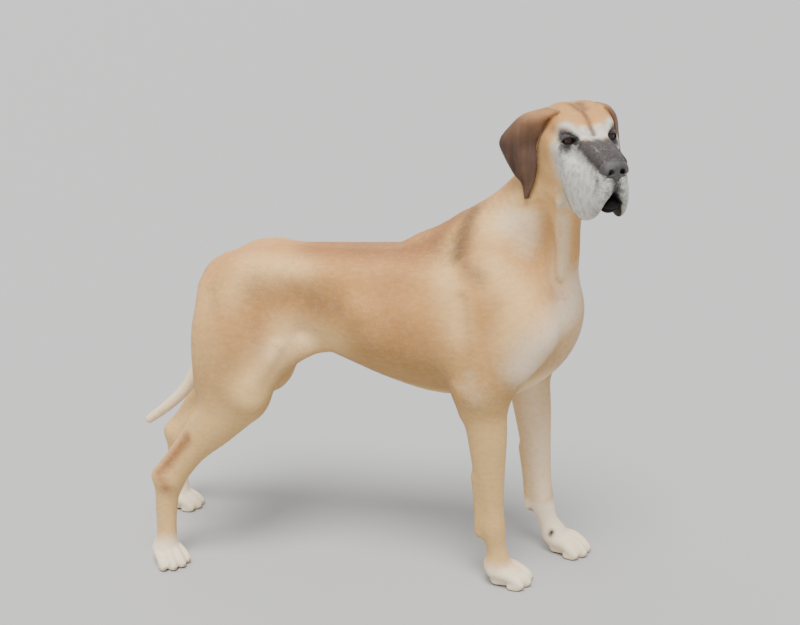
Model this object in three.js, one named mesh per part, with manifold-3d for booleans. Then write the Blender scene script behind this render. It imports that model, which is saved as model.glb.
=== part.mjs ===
// A standing Great Dane, life size, as a still museum model. Millimetres, +X forward, +Y the dog's left, +Z up.
// The flesh is a field of oval strokes laid over the joints of the skeleton. Each named part is the skin of that
// field inside its own block, so that neighbouring parts meet on flat faces with a thin gap.
import * as THREE from "three";
import { mergeVertices } from "three/addons/utils/BufferGeometryUtils.js";
import Module from "manifold-3d";

const wasm = await Module();
wasm.setup();

// Driving dimensions. The floor point under the withers is the origin until the last lines.
const WITHERS = 780; // top of the shoulder
const GAP = 0.3; // clearance between neighbouring parts
const LEFT = 1;
const RIGHT = -1;

// Joints of the skeleton, as [forward, out to the side, up].
const ELBOW = { [RIGHT]: [34, 98, 430], [LEFT]: [90, 96, 432] };
const CARPUS = { [RIGHT]: [50, 85, 128], [LEFT]: [128, 82, 118] };
const FOREPAW = { [RIGHT]: [76, 84, 0], [LEFT]: [179, 78, 0] };
const FOREPAW_TURN = { [RIGHT]: 2, [LEFT]: -12 }; // degrees towards the dog's left
const STIFLE = { [RIGHT]: [-470, 112, 392], [LEFT]: [-498, 110, 382] };
const HOCK = { [RIGHT]: [-662, 128, 196], [LEFT]: [-758, 130, 190] };
const HINDPAW = { [RIGHT]: [-674, 149, 0], [LEFT]: [-766, 120, 0] };
const HINDPAW_TURN = { [RIGHT]: -38, [LEFT]: 6 };

// The head's own frame: origin midway between the eyes, turned towards the right and slightly down.
const HEAD_AT = [246, -122, 952];
const HEAD_YAW = -64.6;
const HEAD_PITCH = 7;
const HEAD_ROLL = 2.5; // left ear up
const EYE_OUT = 38;
const EYE_RADIUS = 12;
const MUZZLE_LENGTH = 150; // from the eyes to the tip of the nose
const EAR_THICKNESS = 7;
const TAIL_ROOT = [-568, 0, 634];

const radians = THREE.MathUtils.degToRad;
const lerp = THREE.MathUtils.lerp;

// Frames: the identity for the body, one for the head, and one at each paw.
function frameAt(origin, yaw, pitch = 0, roll = 0) {
  const turn = new THREE.Euler(radians(roll), radians(pitch), radians(yaw), "ZYX");
  return new THREE.Matrix4().makeRotationFromEuler(turn).setPosition(...origin);
}

const BODY = new THREE.Matrix4();
const HEAD = frameAt(HEAD_AT, HEAD_YAW, HEAD_PITCH, HEAD_ROLL);
const pawFrame = (place, turn, side) =>
  frameAt([place[side][0], side * place[side][1], place[side][2]], turn[side]);

// A stroke is a row of oval sections [x, y, z, half width across `across`, half depth] along a smooth line.
// `blend` is how softly it melts into what came before it, and a cut stroke is carved away.
const FINE_STEPS = 5;

function stroke(stations, { frame = BODY, across = [0, 1, 0], blend = 30, cut = false } = {}) {
  const at = (i) => stations[Math.min(Math.max(i, 0), stations.length - 1)];
  const rows = [];
  for (let i = 0; i < stations.length - 1; i++) {
    for (let s = 0; s < FINE_STEPS; s++) rows.push(between(at(i - 1), at(i), at(i + 1), at(i + 2), s / FINE_STEPS));
  }
  rows.push(at(stations.length - 1));
  const sections = rows.map(([x, y, z, wide, deep]) => ({
    centre: new THREE.Vector3(x, y, z).applyMatrix4(frame).toArray(),
    wide,
    deep,
  }));
  const side = new THREE.Vector3(...across).normalize().transformDirection(frame).toArray();
  const reach = Math.max(...sections.map((s) => Math.max(s.wide, s.deep))) + blend;
  const low = [0, 1, 2].map((k) => Math.min(...sections.map((s) => s.centre[k])) - reach);
  const high = [0, 1, 2].map((k) => Math.max(...sections.map((s) => s.centre[k])) + reach);
  return { sections, side, blend, cut, low, high };
}

// Catmull-Rom between stations b and c.
function between(a, b, c, d, t) {
  return b.map(
    (_, k) =>
      0.5 *
      (2 * b[k] +
        (c[k] - a[k]) * t +
        (2 * a[k] - 5 * b[k] + 4 * c[k] - d[k]) * t * t +
        (3 * b[k] - a[k] - 3 * c[k] + d[k]) * t * t * t),
  );
}

// Signed distance, nearly, from a point to one span between two oval sections.
function spanDistance(p, from, to, side) {
  const line = [0, 1, 2].map((k) => to.centre[k] - from.centre[k]);
  const rel = [0, 1, 2].map((k) => p[k] - from.centre[k]);
  const length2 = line[0] ** 2 + line[1] ** 2 + line[2] ** 2 || 1e-9;
  const t = Math.min(Math.max((rel[0] * line[0] + rel[1] * line[1] + rel[2] * line[2]) / length2, 0), 1);
  const off = [0, 1, 2].map((k) => rel[k] - t * line[k]);
  const wide = lerp(from.wide, to.wide, t);
  const deep = lerp(from.deep, to.deep, t);
  const u = off[0] * side[0] + off[1] * side[1] + off[2] * side[2];
  const v = Math.sqrt(Math.max(off[0] ** 2 + off[1] ** 2 + off[2] ** 2 - u * u, 0));
  const ratio = Math.hypot(u / wide, v / deep);
  const slope = Math.hypot(u / wide ** 2, v / deep ** 2);
  return slope < 1e-9 ? -Math.min(wide, deep) : (ratio * (ratio - 1)) / slope;
}

function strokeDistance(p, s) {
  for (let k = 0; k < 3; k++) if (p[k] < s.low[k] || p[k] > s.high[k]) return 1e3;
  let least = 1e3;
  for (let i = 0; i < s.sections.length - 1; i++) {
    least = Math.min(least, spanDistance(p, s.sections[i], s.sections[i + 1], s.side));
  }
  return least;
}

// The smooth union of strokes, with the cut ones carved out.
function fieldOf(strokes) {
  return (p) => {
    let value = 1e3;
    for (const s of strokes) {
      const d = s.cut ? -strokeDistance(p, s) : strokeDistance(p, s);
      const overlap = Math.max(s.blend - Math.abs(value - d), 0) / s.blend;
      const soft = (overlap * overlap * s.blend) / 4;
      value = s.cut ? Math.max(value, d) + soft : Math.min(value, d) - soft;
    }
    return value;
  };
}

const bothSides = (make) => [make(LEFT), make(RIGHT)].flat();
// Stations given for one side, mirrored to the side asked for.
const onSide = (side, stations) => stations.map(([x, y, ...rest]) => [x, side * y, ...rest]);

// A station of the trunk from its top and bottom lines.
const trunkStation = (x, top, bottom, halfWidth) => [x, 0, (top + bottom) / 2, halfWidth, (top - bottom) / 2];

function trunk() {
  const barrel = stroke(
    [
      trunkStation(128, 662, 506, 64),
      trunkStation(90, 716, 446, 92),
      trunkStation(30, WITHERS - 26, 402, 112),
      trunkStation(-50, WITHERS - 38, 393, 124),
      trunkStation(-130, 715, 414, 128),
      trunkStation(-210, 709, 444, 122),
      trunkStation(-290, 708, 474, 106),
      trunkStation(-360, 706, 496, 92),
      trunkStation(-430, 706, 514, 88),
      trunkStation(-495, 691, 536, 84),
      trunkStation(-543, 660, 556, 68),
    ],
    { blend: 30 },
  );
  const withers = stroke([[56, 0, 744, 32, 52], [0, 0, 726, 32, 50], [-80, 0, 690, 38, 42]], { blend: 40 });
  const breastbone = stroke([[166, 0, 594, 38, 36], [138, 0, 506, 50, 40], [76, 0, 444, 54, 38]], { blend: 40 });
  const loins = bothSides((side) =>
    stroke(onSide(side, [[-100, 48, 660, 44, 34], [-260, 48, 654, 46, 34], [-420, 50, 656, 46, 34]]), { blend: 34 }),
  );
  return [barrel, withers, breastbone, ...loins];
}

function shoulder(side) {
  const swing = (ELBOW[side][0] - 34) * 0.25; // the joint follows the leg forwards
  const [ex, ey, ez] = ELBOW[side];
  return [
    stroke(onSide(side, [[6, 44, 720, 30, 46], [52, 78, 640, 34, 60], [112 + swing, 94, 566, 38, 58]]), { blend: 45 }),
    stroke(onSide(side, [[122 + swing, 90, 560, 42, 54], [80 + swing, 98, 500, 42, 58], [ex + 8, ey, ez + 16, 38, 54]]), {
      blend: 35,
    }),
    stroke(onSide(side, [[-22, 84, 610, 30, 56], [-8 + swing, 94, 520, 36, 52], [ex - 26, ey + 4, ez + 12, 28, 30]]), {
      blend: 35,
    }),
  ];
}

function foreleg(side) {
  const [ex, ey, ez] = ELBOW[side];
  const [cx, cy, cz] = CARPUS[side];
  const [px, py] = FOREPAW[side];
  const along = (t, bow = 0) => [lerp(ex, cx, t) + bow, lerp(ey, cy, t), lerp(ez, cz, t)];
  return [
    stroke(
      onSide(side, [
        [...along(0), 35, 50],
        [...along(0.28, 3), 34, 43],
        [...along(0.58, 1), 29, 34],
        [...along(0.84), 25, 27],
        [cx, cy, cz, 28, 27],
        [lerp(cx, px, 0.22), lerp(cy, py, 0.3), cz * 0.66, 23, 22],
        [lerp(cx, px, 0.5), lerp(cy, py, 0.6), 46, 27, 24],
      ]),
      { blend: 30 },
    ),
    stroke(onSide(side, [[ex - 36, ey + 3, ez + 16, 15, 16], [ex - 26, ey, ez - 40, 17, 20]]), { blend: 24 }),
    stroke(onSide(side, [[...along(0.62, -26), 12, 11], [...along(0.86, -27), 12, 11], [cx - 28, cy, cz - 14, 12, 13]]), {
      blend: 16,
    }),
  ];
}

function hindleg(side) {
  const [sx, sy, sz] = STIFLE[side];
  const [hx, hy, hz] = HOCK[side];
  const [px, py] = HINDPAW[side];
  const back = (sx + 470) * 0.5; // the thigh follows the leg backwards
  return [
    stroke(onSide(side, [[-474, 66, 612, 48, 84], [-500 + back, 84, 520, 52, 96], [-508 + back, 100, 430, 46, 78]]), {
      blend: 45,
    }),
    stroke(onSide(side, [[-412, 66, 600, 34, 44], [-416 + back, 94, 496, 34, 40], [sx + 12, sy, sz + 14, 32, 34]]), {
      blend: 35,
    }),
    stroke(onSide(side, [[-318, 66, 508, 10, 20], [-352, 80, 500, 10, 24], [-392, 92, 484, 14, 30]]), { blend: 24 }),
    stroke(onSide(side, [[-540, 52, 612, 40, 44], [-551, 70, 520, 42, 42], [-558 + back, 92, 410, 36, 40]]), {
      blend: 35,
    }),
    stroke(
      onSide(side, [
        [sx - 22, sy, sz - 4, 38, 58],
        [lerp(sx, hx, 0.38) - 8, lerp(sy, hy, 0.38), lerp(sz, hz, 0.32), 33, 50],
        [lerp(sx, hx, 0.72), lerp(sy, hy, 0.72), lerp(sz, hz, 0.66), 24, 32],
        [hx, hy, hz, 25, 31],
      ]),
      { blend: 30 },
    ),
    stroke(
      onSide(side, [[hx + 74, sy + 2, hz + 130, 15, 22], [hx + 8, hy - 2, hz + 56, 9, 12], [hx - 28, hy, hz + 10, 14, 14]]),
      { blend: 20 },
    ),
    stroke(
      onSide(side, [
        [hx - 8, hy, hz - 8, 24, 30],
        [lerp(hx, px, 0.2) - 12, lerp(hy, py, 0.3), hz * 0.62, 20, 25],
        [lerp(hx, px, 0.4) - 10, lerp(hy, py, 0.6), hz * 0.38, 20, 23],
        [lerp(hx, px, 0.7) - 6, lerp(hy, py, 0.9), 42, 26, 24],
      ]),
      { blend: 22 },
    ),
  ];
}

// Four arched toes over their pads, in the paw's own frame. The soles run a little under the floor and are cut flat.
const TOE_SPREAD = [-30, -11, 11, 30];
const toeSize = (y) => (Math.abs(y) > 20 ? { set: -13, size: 0.92 } : { set: 0, size: 1 });

function paw(frame, scale) {
  const at = (rows) => rows.map((row) => row.map((n) => n * scale));
  const toes = TOE_SPREAD.flatMap((y) => {
    const { set, size } = toeSize(y);
    return [
      stroke(
        at([
          [-12 + set, y * 0.62, 34, 15 * size, 16 * size],
          [20 + set, y * 0.92, 33 * size, 13.5 * size, 15 * size],
          [40 + set, y * 1.04, 21 * size, 13 * size, 14 * size],
          [48 + set, y * 1.08, 13, 11.5 * size, 12 * size],
        ]),
        { frame, blend: 8 },
      ),
      stroke(at([[30 + set, y, 8, 11, 12], [40 + set, y * 1.04, 7, 11, 11]]), { frame, blend: 6 }),
    ];
  });
  return [
    stroke(at([[-26, 0, 42, 26, 24], [-4, 0, 28, 32, 20]]), { frame, blend: 18 }),
    stroke(at([[-20, 0, 12, 26, 16], [4, 0, 11, 27, 15]]), { frame, blend: 10 }),
    ...toes,
  ];
}

function neck() {
  return [
    stroke([[44, 0, 684, 78, 106], [100, -6, 764, 63, 80], [150, -20, 842, 56, 58], [186, -42, 914, 54, 48]], { blend: 40 }),
    stroke([[162, 0, 606, 42, 42], [182, -4, 690, 38, 34], [190, -30, 774, 38, 32], [200, -62, 842, 42, 38]], { blend: 26 }),
    stroke([[26, 0, 722, 30, 40], [105, -4, 803, 26, 34], [160, -18, 884, 30, 34]], { blend: 28 }),
  ];
}

function head() {
  const frame = HEAD;
  const on = (side, rows, options) => stroke(onSide(side, rows), { frame, ...options });
  return [
    stroke([[-122, 0, -2, 46, 40], [-84, 0, 3, 58, 42], [-36, 0, 3, 54, 38], [-8, 0, 0, 41, 29]], { frame, blend: 32 }),
    ...bothSides((side) => [
      on(side, [[-108, 27, 12, 28, 29], [-66, 29, 16, 28, 29], [-26, 27, 11, 22, 22], [2, 20, 4, 15, 14]], { blend: 15 }),
      on(side, [[-36, 38, 20, 14, 10], [-10, 33, 18, 15, 9], [10, 24, 10, 12, 9]], { blend: 14 }),
      on(side, [[-96, 54, -14, 12, 18], [-50, 58, -18, 11, 16], [-8, 47, -20, 12, 14]], { blend: 22 }),
      on(side, [[-96, 40, -44, 24, 34], [-52, 44, -54, 19, 34], [-16, 36, -46, 18, 28]], { blend: 26 }),
    ]),
    stroke([[-10, 0, -24, 40, 29], [40, 0, -24, 32, 31], [100, 0, -26, 27, 28], [122, 0, -30, 24, 25]], { frame, blend: 16 }),
    ...bothSides((side) => [
      on(side, [[4, 18, 0, 14, 13], [60, 17, -6, 14, 12], [122, 15, -12, 13, 12]], { blend: 12 }),
      on(
        side,
        [
          [124, 13, -52, 13, 28],
          [112, 19, -64, 12, 38],
          [88, 25, -76, 11, 48],
          [56, 32, -84, 11, 51],
          [28, 37, -82, 11, 49],
          [4, 42, -66, 11, 34],
          [-18, 44, -48, 10, 20],
        ],
        { blend: 12 },
      ),
    ]),
    stroke([[-70, 0, -58, 46, 40], [-112, 0, -44, 50, 54]], { frame, blend: 40 }),
    ...bothSides((side) => [on(side, [[17, 46, 1, 19, 13], [34, 52, 3, 19, 13]], { blend: 8, cut: true })]), // sockets
  ];
}

function lowerJaw() {
  const frame = HEAD;
  return [
    stroke([[10, 0, -78, 26, 14], [70, 0, -86, 18, 14], [110, 0, -92, 16, 15]], { frame, blend: 10 }),
    stroke([[104, 0, -88, 18, 13], [117, 0, -87, 14, 12]], { frame, blend: 8 }),
  ];
}

const nosePad = () => [
  stroke([[MUZZLE_LENGTH - 26, 0, -21, 24, 17], [MUZZLE_LENGTH - 14, 0, -21, 26, 18]], { frame: HEAD, blend: 8 }),
];

const tail = () => [
  stroke(
    [
      [TAIL_ROOT[0] + 30, 0, TAIL_ROOT[2] + 14, 30, 30],
      [...TAIL_ROOT, 27, 27],
      [-596, 0, 586, 22, 23],
      [-609, 0, 510, 19, 20],
      [-625, -2, 436, 16, 17],
      [-660, -10, 370, 14, 14],
      [-706, -20, 325, 11, 11],
      [-752, -28, 291, 8, 8],
    ],
    { blend: 24 },
  ),
];

// Skins a field inside a block by surface nets on a grid whose lines may be closer together where detail is small.
function gridLines(from, to, stepAt) {
  const lines = [from];
  while (lines.at(-1) < to) lines.push(lines.at(-1) + stepAt(lines.at(-1)));
  return lines;
}

const BORDER = 5; // the value on the faces of a block, where its skin is closed

function skinOf(field, frame, [xs, ys, zs]) {
  const [nx, ny, nz] = [xs.length, ys.length, zs.length];
  const point = new THREE.Vector3();
  const world = (x, y, z) => point.set(x, y, z).applyMatrix4(frame).toArray();
  const value = new Float64Array(nx * ny * nz);
  const id = (i, j, k) => (k * ny + j) * nx + i;
  const outside = (i, j, k) => !i || !j || !k || i === nx - 1 || j === ny - 1 || k === nz - 1;
  for (let k = 0; k < nz; k++)
    for (let j = 0; j < ny; j++)
      for (let i = 0; i < nx; i++) value[id(i, j, k)] = outside(i, j, k) ? BORDER : field(world(xs[i], ys[j], zs[k])) || 1e-6;

  fillSaddles(value, [nx, ny, nz]);

  const corners = [0, 1, 2, 3, 4, 5, 6, 7].map((c) => [c & 1, (c >> 1) & 1, c >> 2]);
  const edges = [];
  corners.forEach((a, i) =>
    corners.forEach((b, j) => {
      if (i < j && a.reduce((sum, n, k) => sum + Math.abs(n - b[k]), 0) === 1) edges.push([i, j]);
    }),
  );
  const vertexOf = new Map();
  const positions = [];
  for (let k = 0; k < nz - 1; k++)
    for (let j = 0; j < ny - 1; j++)
      for (let i = 0; i < nx - 1; i++) {
        const values = corners.map(([a, b, c]) => value[id(i + a, j + b, k + c)]);
        const inside = values.filter((v) => v < 0).length;
        if (inside === 0 || inside === 8) continue;
        const sum = [0, 0, 0];
        let crossings = 0;
        for (const [a, b] of edges) {
          if (values[a] < 0 === values[b] < 0) continue;
          const t = values[a] / (values[a] - values[b]);
          [xs, ys, zs].forEach((axis, n) => {
            const base = [i, j, k][n];
            sum[n] += lerp(axis[base + corners[a][n]], axis[base + corners[b][n]], t);
          });
          crossings++;
        }
        vertexOf.set(id(i, j, k), positions.length / 3);
        positions.push(...world(...sum.map((n) => n / crossings)));
      }
  settle(positions, field, Math.min(xs[2] - xs[1], zs[2] - zs[1]));

  const triangles = [];
  const quad = (a, b, c, d, flip) => {
    const ring = flip ? [d, c, b, a] : [a, b, c, d];
    const at = ring.map((n) => new THREE.Vector3(...positions.slice(n * 3, n * 3 + 3)));
    const first = at[0].distanceTo(at[2]) < at[1].distanceTo(at[3]) ? 0 : 1;
    for (const [p, q, r] of [[0, 1, 2], [0, 2, 3]]) {
      triangles.push(ring[(p + first) % 4], ring[(q + first) % 4], ring[(r + first) % 4]);
    }
  };
  for (let k = 0; k < nz - 1; k++)
    for (let j = 0; j < ny - 1; j++)
      for (let i = 0; i < nx - 1; i++) {
        const here = value[id(i, j, k)] < 0;
        const cell = (a, b, c) => vertexOf.get(id(i + a, j + b, k + c));
        if (here !== value[id(i + 1, j, k)] < 0) quad(cell(0, -1, -1), cell(0, 0, -1), cell(0, 0, 0), cell(0, -1, 0), !here);
        if (here !== value[id(i, j + 1, k)] < 0) quad(cell(-1, 0, -1), cell(-1, 0, 0), cell(0, 0, 0), cell(0, 0, -1), !here);
        if (here !== value[id(i, j, k + 1)] < 0) quad(cell(-1, -1, 0), cell(0, -1, 0), cell(0, 0, 0), cell(-1, 0, 0), !here);
      }
  return solidFrom(positions, triangles);
}

// A grid face whose opposite corners agree would pinch the skin, so one of its outside corners is filled.
function fillSaddles(value, counts) {
  const strides = [1, counts[0], counts[0] * counts[1]];
  let changed = true;
  while (changed) {
    changed = false;
    for (const [u, v] of [[0, 1], [1, 2], [0, 2]]) {
      const [du, dv] = [strides[u], strides[v]];
      for (let n = 0; n < value.length - du - dv; n++) {
        const [a, b, c, d] = [value[n], value[n + du], value[n + du + dv], value[n + dv]];
        if (a < 0 !== c < 0 || b < 0 !== d < 0 || a < 0 === b < 0) continue;
        if ([a, b, c, d].includes(BORDER)) continue;
        const outside = a < 0 ? (b < d ? n + du : n + dv) : a < c ? n : n + du + dv;
        value[outside] = -0.05;
        changed = true;
      }
    }
  }
}

// Moves each vertex onto the field's zero, by at most a fraction of a cell.
function settle(positions, field, cell) {
  const most = cell * 0.45;
  const step = 0.5;
  for (let n = 0; n < positions.length; n += 3) {
    for (let turn = 0; turn < 2; turn++) {
      const p = positions.slice(n, n + 3);
      const v = field(p);
      if (v > most * 2) break; // on the flat side of the block
      const slope = [0, 1, 2].map((k) => {
        const q = [...p];
        q[k] += step;
        return (field(q) - v) / step;
      });
      const size2 = slope.reduce((sum, g) => sum + g * g, 0) || 1;
      const move = Math.min(Math.max(-v / size2, -most), most);
      for (let k = 0; k < 3; k++) positions[n + k] += slope[k] * move;
    }
  }
}

function solidFrom(positions, triangles) {
  const mesh = new wasm.Mesh({
    numProp: 3,
    vertProperties: new Float32Array(positions),
    triVerts: new Uint32Array(triangles),
  });
  return new wasm.Manifold(mesh);
}

// Any three.js geometry as a solid, placed by a matrix.
function solidOf(geometry, matrix = BODY) {
  const bare = geometry.clone().applyMatrix4(matrix);
  bare.deleteAttribute("normal");
  bare.deleteAttribute("uv");
  const merged = mergeVertices(bare, 1e-4);
  return solidFrom(Array.from(merged.attributes.position.array), Array.from(merged.index.array));
}

function geometryOf(solid) {
  const mesh = solid.getMesh();
  const geometry = new THREE.BufferGeometry();
  const places = new Float32Array(mesh.numVert * 3);
  for (let i = 0; i < mesh.numVert; i++) {
    places.set(mesh.vertProperties.subarray(i * mesh.numProp, i * mesh.numProp + 3), i * 3);
  }
  geometry.setAttribute("position", new THREE.BufferAttribute(places, 3));
  geometry.setIndex(new THREE.BufferAttribute(mesh.triVerts, 1));
  geometry.computeVertexNormals();
  return geometry;
}

const largest = (solid) => solid.decompose().sort((a, b) => b.volume() - a.volume())[0];

// A block to cut with, from two corners in a frame, grown by `extra` on every side.
function block(low, high, frame = BODY, extra = 0) {
  const size = low.map((n, k) => high[k] - n + 2 * extra);
  const centre = low.map((n, k) => (n + high[k]) / 2);
  return solidOf(new THREE.BoxGeometry(...size).translate(...centre), frame);
}

// The ears: curved sheets that leave the skull, fold over and hang. The front and back edges run from root to tip
// in the head's frame. The right one stands off the head and the left one lies against it.
const EAR_EDGES = {
  [RIGHT]: {
    front: [
      [-48, 46, 42], [-60, 62, 30], [-68, 73, 8], [-76, 82, -26],
      [-68, 82, -53], [-68, 83, -76], [-73, 87, -100], [-79, 97, -127],
    ],
    back: [
      [-104, 52, 34], [-112, 91, 24], [-118, 115, 4], [-122, 136, -24],
      [-122, 129, -53], [-114, 114, -85], [-95, 101, -102], [-82, 98, -128],
    ],
  },
  [LEFT]: {
    front: [
      [-50, 44, 42], [-60, 57, 34], [-70, 70, 6], [-76, 76, -22],
      [-82, 80, -48], [-86, 84, -70], [-92, 90, -92], [-98, 94, -120],
    ],
    back: [
      [-106, 50, 34], [-116, 62, 24], [-132, 78, -2], [-142, 82, -30],
      [-142, 85, -56], [-132, 91, -80], [-116, 96, -98], [-102, 95, -121],
    ],
  },
};
const EAR_CUP = 11; // how far the flap bulges outwards between its edges

function earPoint(side, s, t) {
  const { front, back } = EAR_EDGES[side];
  const along = (edge) => new THREE.CatmullRomCurve3(edge.map((p) => new THREE.Vector3(...p))).getPoint(s);
  const [near, far] = [along(front), along(back)];
  const across = far.clone().sub(near);
  const outward = new THREE.Vector3(-across.y, across.x, 0).normalize().negate();
  const bulge = EAR_CUP * (1 - t * t) * Math.min(across.length() / 60, 1) * Math.min(0.3 + 3 * s, 1);
  const p = near.lerp(far, (1 - t) / 2).addScaledVector(outward, bulge);
  return new THREE.Vector3(p.x, side * p.y, p.z);
}

// A closed sheet of even thickness over a curved middle surface, thinning to its rim.
function sheet(middle, rows, columns, thickness) {
  const grid = [];
  for (let i = 0; i <= rows; i++) {
    for (let j = 0; j <= columns; j++) grid.push(middle(i / rows, (2 * j) / columns - 1));
  }
  const id = (i, j) => i * (columns + 1) + j;
  const normals = grid.map((_, n) => {
    const i = Math.floor(n / (columns + 1));
    const j = n % (columns + 1);
    const down = grid[id(Math.min(i + 1, rows), j)].clone().sub(grid[id(Math.max(i - 1, 0), j)]);
    const over = grid[id(i, Math.min(j + 1, columns))].clone().sub(grid[id(i, Math.max(j - 1, 0))]);
    return down.cross(over).normalize();
  });
  const rim = (n) => {
    const i = Math.floor(n / (columns + 1));
    const j = n % (columns + 1);
    return i === 0 || i === rows || j === 0 || j === columns ? 0.45 * thickness : thickness;
  };
  const positions = [];
  for (const face of [1, -1]) {
    grid.forEach((p, n) => {
      positions.push(...p.clone().addScaledVector(normals[n], (face * rim(n)) / 2).toArray());
    });
  }
  const count = grid.length;
  const triangles = [];
  for (let i = 0; i < rows; i++)
    for (let j = 0; j < columns; j++) {
      const [a, b, c, d] = [id(i, j), id(i + 1, j), id(i + 1, j + 1), id(i, j + 1)];
      triangles.push(a, b, c, a, c, d);
      triangles.push(count + a, count + c, count + b, count + a, count + d, count + c);
    }
  const ring = [];
  for (let j = 0; j < columns; j++) ring.push(id(0, j));
  for (let i = 0; i < rows; i++) ring.push(id(i, columns));
  for (let j = columns; j > 0; j--) ring.push(id(rows, j));
  for (let i = rows; i > 0; i--) ring.push(id(i, 0));
  ring.forEach((a, n) => {
    const b = ring[(n + 1) % ring.length];
    triangles.push(a, b, count + b, a, count + b, count + a);
  });
  return [positions, triangles];
}

function ear(side) {
  const [positions, triangles] = sheet((s, t) => earPoint(side, s, t).applyMatrix4(HEAD), 11, 7, EAR_THICKNESS);
  const solid = solidFrom(positions, triangles);
  if (solid.volume() > 0) return solid;
  for (let n = 0; n < triangles.length; n += 3) [triangles[n], triangles[n + 1]] = [triangles[n + 1], triangles[n]];
  return solidFrom(positions, triangles);
}

const eyeball = (side, radius) =>
  solidOf(new THREE.SphereGeometry(radius, 12, 8).translate(-7, side * EYE_OUT, 0), HEAD);

// The two lids of an eye: a bent roll of skin above and one below.
function lids(side) {
  return [1, -1].map((up) => {
    const points = [-1, -0.5, 0, 0.5, 1].map((t) => {
      const turn = radians(22 + 48 * t); // from looking inward to looking out
      const reach = EYE_RADIUS + 0.5;
      const rise = up * (7 - 6 * t * t);
      return new THREE.Vector3(-7 + reach * Math.cos(turn) * 0.92, side * (EYE_OUT + reach * Math.sin(turn) * 0.92), rise);
    });
    const section = new THREE.Shape().absarc(0, 0, 3.4, 0, Math.PI * 2);
    const roll = new THREE.ExtrudeGeometry(section, {
      steps: 8,
      curveSegments: 3,
      extrudePath: new THREE.CatmullRomCurve3(points),
    });
    return solidOf(roll, HEAD);
  });
}

// The almond opening between the lids, which lets the eyeball show.
const EYE_GAZE = 18; // each eye looks this far outwards, in degrees
function opening(side) {
  const hole = new THREE.SphereGeometry(1, 12, 8).scale(11, 11, 6.5).translate(12, 0, 0);
  const turned = hole.rotateZ(radians(side * EYE_GAZE)).translate(-7, side * EYE_OUT, 0);
  return solidOf(turned, HEAD);
}

// A claw: a bent cone that starts inside the toe and points forwards and down.
function claw(frame, scale, [x, y, z], grow = 0, tilt = 0) {
  const length = 21 * scale;
  const points = [0, 0.4, 0.75, 1].map(
    (t) => new THREE.Vector2((4.2 * scale + grow) * Math.cos(t * Math.PI * 0.5) ** 0.7 * (t < 1 ? 1 : 0), t * (length + grow)),
  );
  points.unshift(new THREE.Vector2(0, -grow));
  points[1].y = -grow;
  const cone = new THREE.LatheGeometry(points, 6).rotateZ(-Math.PI / 2);
  const place = new THREE.Matrix4()
    .makeTranslation(x * scale, y * scale, z * scale)
    .multiply(new THREE.Matrix4().makeRotationY(radians(30 + tilt)));
  return solidOf(cone, frame.clone().multiply(place));
}

const clawPlace = (y) => [46 + toeSize(y).set, y * 1.08, 19];

// Colours from the coat: fawn, a greying dark mask, black skin, dark claws and amber eyes.
const material = (color, roughness) => new THREE.MeshStandardMaterial({ color, roughness, metalness: 0 });
const FAWN = material(0xc9a06e, 0.75);
const PALE = material(0xd9c4a4, 0.75);
const WHITE = material(0xe6ded2, 0.8);
const DARK = material(0x5b4a44, 0.75);
const GREY = material(0xa39a92, 0.8);
const BLACK = material(0x1c1a1b, 0.4);
const HORN = material(0x8a7a66, 0.45);
const EYE = material(0x3a2112, 0.1);

const dog = new THREE.Group();
function add(name, solid, look) {
  const mesh = new THREE.Mesh(geometryOf(largest(solid)), look);
  mesh.name = name;
  dog.add(mesh);
}

const flesh = fieldOf([
  ...trunk(),
  ...bothSides(shoulder),
  ...bothSides(foreleg),
  ...bothSides(hindleg),
  ...neck(),
  ...head(),
]);
const tailField = fieldOf(tail());
const sideName = { [LEFT]: "left", [RIGHT]: "right" };

// Head, lower jaw, nose, eyes and ears.
const HEAD_CELL = 14;
const HEAD_BACK_CELL = 18;
// `wider` adds whole cells on every side, so that the lines of both grids coincide.
const headGrid = (wider) => [
  gridLines(-172 - wider * HEAD_BACK_CELL, 152 + wider * HEAD_CELL, (x) => (x > -30 ? HEAD_CELL : HEAD_BACK_CELL)),
  gridLines(-84 - wider * HEAD_CELL, 84 + wider * HEAD_CELL, () => HEAD_CELL),
  gridLines(-140 - wider * HEAD_CELL, 82 + wider * HEAD_CELL, () => HEAD_CELL),
];
const NECK_CUT = frameAt([150, -30, 880], -52, -38); // +X of this frame points out of the neck into the head
const headBlock = (extra) => block([0, -170, -200], [420, 170, 230], NECK_CUT, extra);
const noseGrid = [gridLines(96, 168, () => 9), gridLines(-36, 36, () => 9), gridLines(-50, 12, () => 9)];
const jawGrid = [gridLines(-30, 146, () => 11), gridLines(-50, 50, () => 9), gridLines(-120, -44, () => 9)];
const noseField = fieldOf(nosePad());
const jawField = fieldOf(lowerJaw());
const grown = (field, by) => (p) => field(p) - by;
const nose = skinOf(noseField, HEAD, noseGrid);
const jaw = skinOf(jawField, HEAD, jawGrid);

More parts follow.
